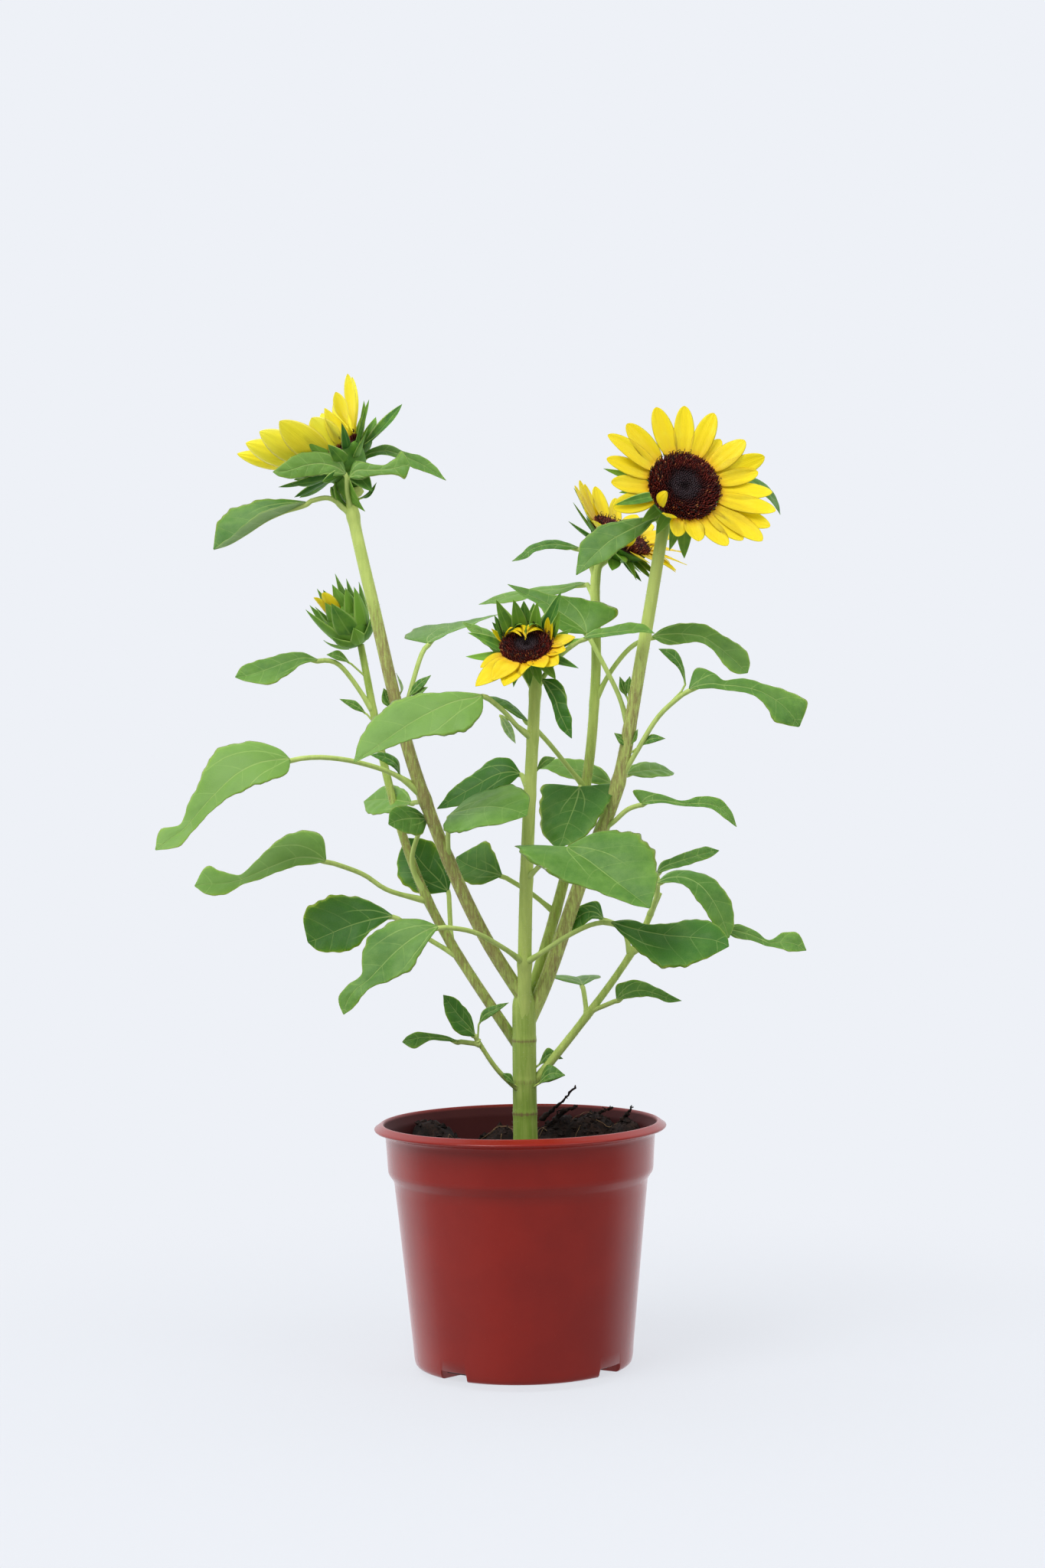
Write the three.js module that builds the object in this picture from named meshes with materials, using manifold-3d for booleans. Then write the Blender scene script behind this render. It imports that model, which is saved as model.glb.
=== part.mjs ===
// A potted sunflower plant: a terracotta-coloured plastic pot of compost, one trunk that forks low into
// seven stems, four open blooms, one bud and forty-one leaves, each a solid of its own.
// Millimetres, +Z up. The origin is the centre of the pot's flat underside, and -Y is the plant's front.
import * as THREE from 'three';
import { mergeVertices } from 'three/addons/utils/BufferGeometryUtils.js';
import Module from 'manifold-3d';

const wasm = await Module();
wasm.setup();

// ---- driving dimensions ----
const RIM_DIAMETER = 170;
const POT_HEIGHT = 140;
const WALL = 1.8;
const COMPOST_LEVEL = 113;
const GAP = 0.4; // clearance between pieces that touch
const STALK_RADIUS = 1.6;
const POT_SIDES = 32;
const STEM_SIDES = 7;

// ---- materials ----
const finish = (color, roughness) => new THREE.MeshStandardMaterial({ color, roughness, metalness: 0 });
const potPlastic = finish(0x9a2e24, 0.42);
const compost = finish(0x1c1512, 0.95);
const stemGreen = finish(0x8fae4f, 0.6);
const leafGreen = finish(0x5f9a4c, 0.55);
const rayYellow = finish(0xf4dc1e, 0.5);
const discBrown = finish(0x3a1210, 0.8);
const calyxGreen = finish(0x3f7d34, 0.6);

const plant = new THREE.Group();

// ---- solids ----
// A closed three.js geometry as positions only, with its shared corners joined.
function bare(geometry) {
  geometry.deleteAttribute('normal');
  geometry.deleteAttribute('uv');
  return mergeVertices(geometry, 1e-4);
}

// Moves every vertex of a geometry to where place(x, y, z) says.
function warp(geometry, place) {
  const position = geometry.attributes.position;
  for (let i = 0; i < position.count; i += 1) {
    position.setXYZ(i, ...place(position.getX(i), position.getY(i), position.getZ(i)));
  }
  return geometry;
}

function toSolid(geometry) {
  return new wasm.Manifold(new wasm.Mesh({
    numProp: 3,
    vertProperties: new Float32Array(geometry.attributes.position.array),
    triVerts: new Uint32Array(geometry.index.array),
  }));
}

function toGeometry(solid) {
  const mesh = solid.getMesh();
  const geometry = new THREE.BufferGeometry();
  geometry.setAttribute('position', new THREE.BufferAttribute(new Float32Array(mesh.vertProperties), 3));
  geometry.setIndex(Array.from(mesh.triVerts));
  return geometry;
}

// The part of a solid that lies clear of the tool; crumbs that the cut leaves behind are dropped.
function cutClear(geometry, tool) {
  const pieces = toSolid(geometry).subtract(tool).decompose();
  pieces.sort((a, b) => b.volume() - a.volume());
  return toGeometry(pieces[0]);
}

function add(name, geometry, material) {
  const mesh = new THREE.Mesh(geometry, material);
  mesh.name = name;
  plant.add(mesh);
  return mesh;
}

// ---- pot ----
const potProfile = [ // radius and height, from the middle of the underside round to the middle of the floor
  [0, 0], [61, 0], [63.4, 3.4], [73.8, 107], [77.2, 113], [78.4, 133.6],
  [RIM_DIAMETER / 2 - 0.8, 135.8], [RIM_DIAMETER / 2, 136.8], [80.6, POT_HEIGHT], [79.6, POT_HEIGHT],
  [78 - WALL, 133], [77.2 - WALL, 113], [73.8 - WALL, 107], [60, 2.4], [0, 2.4],
];
const DRAIN_COUNT = 4;
const DRAIN_WIDTH = 18;
const DRAIN_HEIGHT = 5;
const DRAIN_FIRST = -39; // degrees round from the front, towards +X

// A lathe turned about Z from [radius, height] pairs that run counter-clockwise in the half plane.
function turned(profile, sides) {
  const points = profile.map(([radius, height]) => new THREE.Vector2(radius, height));
  return bare(new THREE.LatheGeometry(points, sides).rotateX(Math.PI / 2));
}

function drainNotches() {
  const notches = [];
  for (let i = 0; i < DRAIN_COUNT; i += 1) {
    const slot = new THREE.BoxGeometry(DRAIN_WIDTH, 24, 2 * DRAIN_HEIGHT);
    slot.translate(0, -62, 0);
    slot.rotateZ(THREE.MathUtils.degToRad(DRAIN_FIRST + (360 / DRAIN_COUNT) * i));
    notches.push(toSolid(bare(slot)));
  }
  return wasm.Manifold.union(notches);
}

const potShell = toSolid(turned(potProfile, POT_SIDES)).subtract(drainNotches());
add('pot', toGeometry(potShell), potPlastic);

// ---- compost ----
// It fills the pot to its level, with a lump at the back left and a broad heap at the back right.
const FOOT_PATCH = 13; // radius of the level patch that the trunk stands on
const compostProfile = [
  [0, 2.4 + GAP], [59.4, 2.4 + GAP], [73.8 - WALL - GAP, 107], [77 - WALL - GAP, COMPOST_LEVEL],
  [58, COMPOST_LEVEL], [36, COMPOST_LEVEL], [FOOT_PATCH, COMPOST_LEVEL], [0, COMPOST_LEVEL],
];
const heaps = [
  { x: 42, y: 44, height: 22, spread: 24 },
  { x: -50, y: 42, height: 19, spread: 15 },
];

function heaped(x, y, z) {
  const radius = Math.hypot(x, y);
  if (z < COMPOST_LEVEL || radius <= FOOT_PATCH) return [x, y, z];
  const rise = ({ x: middle, y: depth, height, spread }) => (
    height * Math.exp(-(((x - middle) / spread) ** 2) - ((y - depth) / spread) ** 2)
  );
  return [x, y, z + heaps.reduce((sum, heap) => sum + rise(heap), 0)];
}
add('compost', warp(turned(compostProfile, POT_SIDES), heaped), compost);

// ---- stems ----
// Each stem is a tapering limb along a smooth line through a few waypoints, with its radii at foot and tip.
const TRUNK_FOOT = COMPOST_LEVEL + GAP;
const stemPlans = {
  trunk: { way: [[3, 0, TRUNK_FOOT], [3, 0, 160], [3, 0, 214]], radius: [7.2, 6.6], flare: 0.14 },
  front: {
    way: [[3, -5, 214], [5, -10, 260], [8, -15, 320], [12, -20, 380], [13, -20, 402]],
    radius: [4, 3.1],
  },
  tall_left: {
    way: [[3, -2, 215], [-20, -5, 250], [-42, -8, 300], [-62, -10, 360], [-80, -10, 440], [-92, -5, 500]],
    radius: [4, 3.1],
  },
  tall_right: {
    way: [[5, 2, 200], [18, 3, 225], [40, 3, 285], [60, 0, 335], [75, -5, 410], [86, -8, 470], [91, 0, 497]],
    radius: [4.4, 3.1],
  },
  back_right: {
    way: [[6, 8, 212], [25, 15, 268], [42, 25, 335], [49, 30, 400], [50, 36, 462]],
    radius: [3.3, 2.7],
  },
  bud: {
    way: [[3, 2, 182], [-37, 10, 240], [-59, 15, 285], [-75, 20, 340], [-90, 25, 418]],
    radius: [3.2, 2],
  },
  low_right: { way: [[5, 0, 160], [40, 5, 200], [68, 10, 238], [84, 14, 271]], radius: [2.6, 1.7] },
  low_left: { way: [[3, -3, 158], [-12, -8, 170], [-25, -12, 190]], radius: [1.6, 1.2] },
};
const STEM_STEPS = 10;

// The line of a stem, and the point on it at a height.
const stemLine = (plan) => new THREE.CatmullRomCurve3(plan.way.map((point) => new THREE.Vector3(...point)));

function pointAtHeight(line, height) {
  let low = 0;
  let high = 1;
  for (let i = 0; i < 24; i += 1) {
    const middle = (low + high) / 2;
    if (line.getPointAt(middle).z < height) low = middle;
    else high = middle;
  }
  return line.getPointAt(low);
}

// A closed cylinder bent onto the line. It is square to the line everywhere, except where it is cut level
// at the ground, and grown by extra all round when it serves to clear its neighbours.
function limb(plan, extra = 0) {
  const line = stemLine(plan);
  const cylinder = bare(new THREE.CylinderGeometry(1, 1, 1, STEM_SIDES, STEM_STEPS));
  return warp(cylinder, (x, y, z) => {
    const along = y + 0.5;
    const centre = line.getPointAt(along);
    const tangent = plan.flare ? new THREE.Vector3(0, 0, 1) : line.getTangentAt(along);
    const across = new THREE.Vector3(0, 1, 0).cross(tangent).normalize();
    const outward = across.clone().cross(tangent);
    const flare = 1 + (plan.flare ?? 0) * Math.exp(-12 * along);
    const radius = THREE.MathUtils.lerp(...plan.radius, along) * flare + extra;
    centre.addScaledVector(tangent, extra * Math.sign(along - 0.5) * (along === 0 || along === 1 ? 1 : 0));
    return centre.addScaledVector(across, x * radius).addScaledVector(outward, z * radius).toArray();
  });
}

let cleared = null; // everything built so far, grown by the gap
const keepClear = (geometry) => {
  const solid = toSolid(geometry);
  cleared = cleared ? cleared.add(solid) : solid;
};
for (const [name, plan] of Object.entries(stemPlans)) {
  const geometry = limb(plan);
  add(`stem_${name}`, cleared ? cutClear(geometry, cleared) : geometry, stemGreen);
  keepClear(limb(plan, GAP));
}

// ---- blooms ----
// A bloom faces along heading (degrees round from +X) and pitch (degrees up). Its head is the disc and the
// calyx behind it. Its rays are one dished star that starts just outside the disc. On a half-open bloom the
// rays of the upper side are short and stand up.
const RAY_COUNT = 17;
const RAY_THICKNESS = 1.2;
const bloomPlans = {
  tall_right: { centre: [100, -20, 505], heading: -78, pitch: 20, disc: 21, reach: 50, lift: 12, back: 17 },
  tall_left: { centre: [-101, 0, 530], heading: 184, pitch: 52, disc: 16, reach: 47, lift: 42, back: 24 },
  back_right: { centre: [65, 33, 482], heading: -33, pitch: 52, disc: 19, reach: 40, lift: 10, back: 16 },
  front: {
    centre: [8, -27, 415], heading: -98, pitch: 45, disc: 15, reach: 34, lift: 6, back: 13, shut: true,
  },
};

function facing(plan) {
  const frame = new THREE.Object3D();
  frame.rotation.order = 'ZYX';
  frame.position.set(...plan.centre);
  frame.rotation.set(0, THREE.MathUtils.degToRad(90 - plan.pitch), THREE.MathUtils.degToRad(plan.heading));
  frame.updateMatrix();
  return frame.matrix;
}

function bloomHead({ disc, back }, extra = 0) {
  return turned([
    [0, -back - extra], [3.6 + extra, -back - extra], [disc * 0.72 + extra, -back * 0.55],
    [disc + 0.8 + extra, -3], [disc + extra, 0.6], [disc * 0.6 + extra, 3 + extra], [0, 2 + extra],
  ], RAY_COUNT);
}

function bloomRays({ disc, reach, lift, shut }, extra = 0) {
  const inner = disc + 0.7 - extra;
  const outer = reach + extra;
  const rise = Math.tan(THREE.MathUtils.degToRad(lift));
  const top = RAY_THICKNESS + extra;
  const ring = turned([
    [inner, -extra], [outer, -extra], [outer, top], [inner, top], [inner, -extra],
  ], 2 * RAY_COUNT);
  return warp(ring, (x, y, z) => {
    const radius = Math.hypot(x, y);
    const angle = Math.atan2(y, x);
    const notch = 0.82 + 0.18 * Math.sin(RAY_COUNT * angle);
    const closing = shut ? (1 - Math.cos(angle)) / 2 : 0;
    const out = (radius - inner) * notch * (1 - 0.6 * closing);
    const scale = (inner + out) / radius;
    return [x * scale, y * scale, z + out * (rise + 3.2 * closing ** 2)];
  });
}

for (const [name, plan] of Object.entries(bloomPlans)) {
  const head = bloomHead(plan).applyMatrix4(facing(plan));
  const stem = toSolid(limb(stemPlans[name], GAP));
  add(`head_${name}`, cutClear(head, stem), discBrown);
  add(`rays_${name}`, bloomRays(plan).applyMatrix4(facing(plan)), rayYellow);
  keepClear(bloomHead(plan, GAP).applyMatrix4(facing(plan)));
  keepClear(bloomRays(plan, GAP).applyMatrix4(facing(plan)));
}

// The bud is a shut calyx whose bracts come to a crown of points.
const BUD_POINTS = 8;
const budPlan = { centre: [-93, 25, 424], heading: 192, pitch: 62 };

function budBody(extra = 0) {
  const body = turned([
    [0, -5 - extra], [3 + extra, -5 - extra], [11 + extra, 1], [15 + extra, 10], [14 + extra, 20],
    [11, 34 + extra], [8 - extra, 22], [0, 20 + extra],
  ], 2 * BUD_POINTS);
  return warp(body, (x, y, z) => {
    const crown = z > 30 ? 10 * (Math.cos(BUD_POINTS * Math.atan2(y, x)) - 1) * 0.5 : 0;
    return [x, y, z + crown];
  });
}
const budStem = toSolid(limb(stemPlans.bud, GAP));
add('bud', cutClear(budBody().applyMatrix4(facing(budPlan)), budStem), calyxGreen);
keepClear(budBody(GAP).applyMatrix4(facing(budPlan)));

// ---- leaves ----
// A leaf leaves its stem at a height. Its stalk runs through a few points to the foot of the blade, and
// the blade's midrib runs on through a few more to the tip. Then come the blade's width, how far it leans
// about its midrib (plus lifts the side to the left of its travel), how far both halves fold up, and how
// blunt its tip is.
const leafPlans = {
  tall_left: [
    [492, [[-104, -8, 503], [-117, -12, 503]], [[-140, -16, 497], [-169, -22, 476]], 25, -40, 8, 0.2],
    [494, [[-92, -9, 508], [-92, -14, 518]], [[-92, -28, 516], [-91, -42, 506]], 62, -4, -8, 0.2],
    [493, [[-89, -1, 508], [-88, 4, 525]], [[-70, 7, 532], [-37, 8, 515]], 14, 30, 8, 0.1],
    [372, [[-55, 5, 408], [-50, 10, 419]], [[-32, 30, 429], [-8, 46, 438]], 52, 0, -5, 0.3],
    [327, [[-60, 4, 326]], [[-75, 25, 328], [-90, 44, 327]], 34, -40, 5, 0.5],
    [
      329, [[-90, -24, 350], [-127, -36, 352]],
      [[-160, -46, 343], [-184, -52, 317], [-202, -58, 302]], 36, -40, 5, 0.4,
    ],
    [292, [[-39, -14, 305], [-38, -20, 319]], [[-18, -34, 322], [7, -48, 318]], 50, 20, 8, 0.4],
  ],
  bud: [
    [380, [[-95, 21, 399], [-112, 18, 411]], [[-138, 15, 408], [-163, 8, 401]], 26, -35, 10, 0.4],
    [272, [[-61, 10, 290], [-54, 0, 312]], [[-61, -13, 318], [-71, -22, 314]], 28, -40, -10, 0.4],
    [268, [[-88, 5, 285], [-110, -2, 293]], [[-145, -8, 291], [-186, -13, 280]], 32, -40, 5, 0.6],
    [235, [[-55, 10, 248], [-72, 8, 260]], [[-98, 3, 255], [-122, -2, 245]], 38, -58, 0, 0.9],
    [243, [[-40, 20, 273]], [[-53, 28, 288], [-66, 38, 305]], 34, -60, 5, 0.5],
  ],
  front: [
    [396, [[16, -27, 396]], [[25, -31, 382], [33, -38, 361]], 14, 60, 4, 0.4],
    [388, [[6, -14, 400], [-1, -11, 411]], [[-14, -12, 421], [-29, -14, 428]], 16, -40, 5, 0.3],
    [389, [[26, -21, 407], [40, -20, 419]], [[62, -21, 424], [82, -22, 421]], 14, 30, 5, 0.3],
    [362, [[-6, -34, 378], [-17, -44, 387]], [[-50, -53, 376], [-90, -62, 349]], 38, -50, 2, 0.2],
    [329, [[4, -4, 341]], [[-20, -1, 337], [-46, 2, 322]], 30, -50, 5, 0.4],
    [281, [[18, -28, 293], [29, -38, 300]], [[50, -57, 285], [73, -78, 267]], 60, 15, 4, 0.4],
    [232, [[-18, -26, 249], [-44, -40, 256]], [[-72, -48, 240], [-98, -56, 208]], 34, -40, 5, 0.4],
    [232, [[28, -24, 248], [53, -36, 257]], [[86, -45, 249], [119, -56, 243]], 36, 38, 4, 0.7],
  ],
  tall_right: [
    [483, [[100, 2, 495], [120, 8, 507]], [[142, 13, 507], [160, 18, 495]], 16, 20, 5, 0.4],
    [481, [[84, -14, 489]], [[62, -17, 479], [38, -22, 460]], 30, -50, 5, 0.3],
    [366, [[56, 4, 400], [44, 8, 423]], [[24, 18, 441], [-3, 30, 455]], 44, -30, 20, 0.2],
    [336, [[84, -8, 374], [101, -12, 389]], [[134, -16, 390], [164, -22, 366]], 30, 30, 12, 0.7],
    [336, [[65, 9, 341]], [[80, 20, 344], [95, 34, 341]], 24, 30, 5, 0.5],
    [330, [[58, 28, 335]], [[36, 41, 344], [13, 50, 345]], 18, -60, 5, 0.4],
    [308, [[62, -3, 318], [73, -6, 323]], [[105, -10, 323], [128, -12, 309]], 18, 28, 12, 0.3],
  ],
  back_right: [
    [457, [[41, 34, 476]], [[20, 31, 477], [0, 28, 468]], 12, -30, 5, 0.5],
    [440, [[45, 46, 456]], [[12, 62, 453], [-21, 75, 446]], 16, -20, 5, 0.3],
    [384, [[66, 27, 412], [82, 25, 422]], [[114, 20, 420], [138, 15, 399]], 26, 25, 8, 0.6],
    [333, [[26, 12, 352], [9, 2, 372]], [[-6, -2, 385], [-20, -4, 387]], 12, 0, -10, 0.5],
    [326, [[38, 10, 333]], [[32, -4, 315], [24, -16, 298]], 48, 0, 4, 0.4],
    [260, [[8, 16, 272], [-8, 20, 282]], [[-22, 28, 284], [-36, 36, 292]], 32, -55, 5, 0.4],
  ],
  low_right: [
    [268, [[82, 12, 282]], [[100, 15, 290], [120, 18, 294]], 12, 35, 5, 0.3],
    [258, [[82, 4, 270], [81, 0, 277]], [[104, -6, 277], [122, -16, 245]], 22, 15, 5, 0.5],
    [236, [[95, 10, 250], [121, 8, 249]], [[146, 7, 241], [169, 5, 237]], 14, 40, 5, 0.8],
    [235, [[62, 10, 250], [51, 8, 256]], [[40, 7, 260], [27, 4, 248]], 14, -50, 5, 0.4],
    [203, [[57, 0, 209]], [[75, -4, 215], [95, -8, 209]], 14, 50, 5, 0.4],
    [200, [[38, 14, 217]], [[36, 36, 220], [34, 58, 217]], 36, 0, 5, 0.2],
  ],
  low_left: [
    [188, [[-25, -13, 191]], [[-35, -19, 203], [-43, -23, 215]], 22, -50, 5, 0.7],
    [186, [[-34, -14, 188]], [[-52, -18, 191], [-67, -22, 189]], 12, -40, 5, 0.5],
  ],
};
const STALK_STATIONS = [0, 0.5, 0.95];
const BLADE_STATIONS = [0.03, 0.1, 0.2, 0.34, 0.5, 0.66, 0.82, 0.93, 1];
const BLADE_RIB = 0.9; // half thickness of the blade at its midrib: it thins to nothing at its edges

// Half width of a blade at a share of its length, against its greatest: broad near the base, and drawn out
// to a point that is sharp at a bluntness of 0 and round at 1.
function bladeProfile(share, blunt) {
  const rise = 0.42;
  const fall = 1.05 - 0.6 * blunt;
  const peak = rise / (rise + fall);
  return (share / peak) ** rise * ((1 - share) / (1 - peak)) ** fall;
}

// The frame of a leaf at a station: its point, the way to its right and the way up from it.
function leafFrame(stalkLine, bladeLine, lean, station) {
  const onStalk = station < STALK_STATIONS.length;
  const share = onStalk ? STALK_STATIONS[station] : BLADE_STATIONS[station - STALK_STATIONS.length];
  const line = onStalk ? stalkLine : bladeLine;
  const along = line.getTangentAt(share);
  const level = along.clone().cross(new THREE.Vector3(0, 0, 1)).normalize();
  const across = level.applyAxisAngle(along, onStalk ? 0 : THREE.MathUtils.degToRad(lean));
  return { point: line.getPointAt(share), across, up: across.clone().cross(along), onStalk, share };
}

// A four-sided bar bent along the leaf: square in the stalk, and in the blade a thin wide diamond.
function leafBody(start, [, stalk, blade, width, lean, fold, blunt], extra = 0) {
  const points = (list) => list.map((point) => new THREE.Vector3(...point));
  const stalkLine = new THREE.CatmullRomCurve3([start, ...points(stalk)]);
  const bladeLine = new THREE.CatmullRomCurve3(points([stalk.at(-1), ...blade]));
  const steps = STALK_STATIONS.length + BLADE_STATIONS.length - 1;
  const bar = bare(new THREE.CylinderGeometry(1, 1, 1, 4, steps));
  const foldRise = Math.tan(THREE.MathUtils.degToRad(fold));
  return warp(bar, (side, y, face) => {
    const station = Math.round((y + 0.5) * steps);
    const { point, across, up, onStalk, share } = leafFrame(stalkLine, bladeLine, lean, station);
    const outline = onStalk ? 0 : (width / 2) * bladeProfile(share, blunt);
    const half = Math.max(STALK_RADIUS * (onStalk ? 1 : 1 - 0.8 * share), outline) + extra;
    const thick = (onStalk ? STALK_RADIUS : BLADE_RIB) + extra;
    const lift = Math.abs(side) * outline * foldRise;
    return point.addScaledVector(across, side * half).addScaledVector(up, face * thick + lift).toArray();
  });
}

for (const [name, plans] of Object.entries(leafPlans)) {
  const line = stemLine(stemPlans[name]);
  plans.forEach((plan, i) => {
    const joint = pointAtHeight(line, plan[0]);
    add(`leaf_${name}_${i + 1}`, cutClear(leafBody(joint, plan), cleared), leafGreen);
    keepClear(leafBody(joint, plan, GAP));
  });
}

export default plant;
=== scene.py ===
"""Looks of a potted sunflower plant: stems, leaves, blooms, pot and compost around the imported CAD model.

Every shape is a surface worked out with numpy in millimetres, in the CAD frame: +X right, +Z up, the
plant's front towards -Y, the origin under the middle of the pot.
"""
import math

import bpy
import numpy as np
from mathutils import Euler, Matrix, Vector


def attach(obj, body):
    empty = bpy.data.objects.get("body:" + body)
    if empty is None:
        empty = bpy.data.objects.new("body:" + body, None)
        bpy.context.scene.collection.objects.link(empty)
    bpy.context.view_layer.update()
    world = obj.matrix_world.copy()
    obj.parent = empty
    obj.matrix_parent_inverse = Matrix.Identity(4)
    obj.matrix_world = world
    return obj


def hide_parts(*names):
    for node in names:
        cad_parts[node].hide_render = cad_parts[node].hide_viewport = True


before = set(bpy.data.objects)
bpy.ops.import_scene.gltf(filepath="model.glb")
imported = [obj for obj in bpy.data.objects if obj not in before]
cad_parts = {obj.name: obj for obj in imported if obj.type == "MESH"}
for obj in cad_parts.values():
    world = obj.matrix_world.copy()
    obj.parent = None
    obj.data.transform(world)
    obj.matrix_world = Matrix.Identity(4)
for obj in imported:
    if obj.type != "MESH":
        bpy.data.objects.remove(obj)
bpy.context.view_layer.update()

MM = 0.001
GOLDEN_TURN = math.pi * (3 - math.sqrt(5))


# ---- vectors, rings and meshes ----
def unit(vectors):
    """Each vector over its own length."""
    return vectors / np.linalg.norm(vectors, axis=-1, keepdims=True)


def mix(a, b, share):
    """a where share is 0, b where it is 1."""
    return a + (b - a) * share


def smooth(low, high, x):
    """0 below low, 1 above high, and the cubic 3t^2 - 2t^3 between."""
    t = np.clip((x - low) / (high - low), 0, 1)
    return t * t * (3 - 2 * t)


def hump(x, middle, spread):
    """The bell curve exp(-((x - middle) / spread)^2)."""
    return np.exp(-(((x - middle) / spread) ** 2))


def turn_about(vectors, axes, angles):
    """Each vector turned about its own unit axis: v cos a + (k x v) sin a + k (k . v)(1 - cos a)."""
    cosine, sine = np.cos(angles)[:, None], np.sin(angles)[:, None]
    along = (axes * vectors).sum(-1, keepdims=True)
    return vectors * cosine + np.cross(axes, vectors) * sine + axes * along * (1 - cosine)


def round_angles(count):
    """Angles evenly round a circle."""
    return np.linspace(0, 2 * math.pi, count, endpoint=False)


def ring_points(radius, height, angle):
    """The points at radii, heights and angles about Z."""
    return np.stack(np.broadcast_arrays(radius * np.cos(angle), radius * np.sin(angle), height), -1)


class Shape:
    """Points, faces, a value for each named attribute at each point, and a material for each face."""

    def __init__(self, points, faces, material=0, **values):
        self.points = np.asarray(points, float).reshape(-1, 3)
        self.faces = [np.asarray(part, int) for part in faces]
        self.material = [np.broadcast_to(material, len(part)) for part in self.faces]
        self.values = {
            name: np.broadcast_to(value, len(self.points)).astype(float) for name, value in values.items()
        }


def joined(shapes):
    """One shape of several, with nothing welded."""
    whole = Shape(np.concatenate([shape.points for shape in shapes]), [])
    names = sorted({name for shape in shapes for name in shape.values})
    for name in names:
        parts = [shape.values.get(name, np.zeros(len(shape.points))) for shape in shapes]
        whole.values[name] = np.concatenate(parts)
    start = 0
    for shape in shapes:
        whole.faces += [part + start for part in shape.faces]
        whole.material += shape.material
        start += len(shape.points)
    return whole


def tube(rings, material=0, **values):
    """A closed skin over rings of points, an array [ring, round, xyz]: quads between the rings, which run
    counter-clockwise seen from the last one, and a fan to the mean point of each end ring. A value is an
    array [ring, round] or one number."""
    count, round_ = rings.shape[:2]
    points = np.concatenate([rings.reshape(-1, 3), rings[:1].mean(1), rings[-1:].mean(1)])
    ring, step = np.meshgrid(np.arange(count - 1), np.arange(round_), indexing="ij")
    after = (step + 1) % round_
    low, high = ring * round_, (ring + 1) * round_
    quads = np.stack([low + step, low + after, high + after, high + step], -1).reshape(-1, 4)
    first = np.arange(round_)
    nxt = (first + 1) % round_
    foot, tip = count * round_, count * round_ + 1
    top = (count - 1) * round_
    fans = np.concatenate([
        np.stack([nxt, first, np.full(round_, foot)], -1),
        np.stack([top + first, top + nxt, np.full(round_, tip)], -1),
    ])
    full = {}
    for name, value in values.items():
        grid = np.broadcast_to(value, (count, round_)).astype(float)
        full[name] = np.concatenate([grid.reshape(-1), [grid[0].mean(), grid[-1].mean()]])
    shape = Shape(points, [quads, fans], **full)
    if np.ndim(material):
        grid = np.broadcast_to(material, (count - 1, round_)).reshape(-1)
        shape.material = [grid, np.repeat([grid[0], grid[-1]], round_)]
    else:
        shape.material = [np.full(len(quads), material), np.full(len(fans), material)]
    return shape


def line_frames(points):
    """The unit tangents of a line of points, with two cross directions carried along it without turning."""
    tangents = unit(np.gradient(points, axis=0))
    across = np.empty_like(tangents)
    before = np.cross(tangents[0], [0.3, 0.9, 0.31])
    for k, tangent in enumerate(tangents):
        before = unit(before - tangent * (before @ tangent))
        across[k] = before
    return tangents, across, np.cross(tangents, across)


def along_way(way, positions):
    """The Catmull-Rom line through waypoints, at positions counted in waypoints."""
    way = np.asarray(way, float)
    padded = np.concatenate([[2 * way[0] - way[1]], way, [2 * way[-1] - way[-2]]])
    leg = np.minimum(positions.astype(int), len(way) - 2)
    s = (positions - leg)[:, None]
    a, b, c, d = (padded[leg + k] for k in range(4))
    return 0.5 * (2 * b + (c - a) * s + (2 * a - 5 * b + 4 * c - d) * s**2 + (3 * b - a - 3 * c + d) * s**3)


def even_positions(points, positions, count):
    """The positions that space a line evenly by length, from its points at fine positions."""
    run = np.concatenate([[0], np.cumsum(np.linalg.norm(np.diff(points, axis=0), axis=1))])
    return np.interp(np.linspace(0, run[-1], count), run, positions)


def smooth_line(way, count):
    """A smooth line through waypoints, as points evenly spaced."""
    fine = np.linspace(0, len(way) - 1, 40 * len(way))
    return along_way(way, even_positions(along_way(way, fine), fine, count))


def rod(points, radii, sides, material=0, **values):
    """A round rod along a line: centre + r (cos a across + sin a outward)."""
    _, across, outward = line_frames(points)
    angle = round_angles(sides)[None, :, None]
    radii = np.asarray(radii, float).reshape(len(points), -1)[:, :, None]
    rings = points[:, None] + radii * (across[:, None] * np.cos(angle) + outward[:, None] * np.sin(angle))
    return tube(rings, material, **values)


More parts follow.
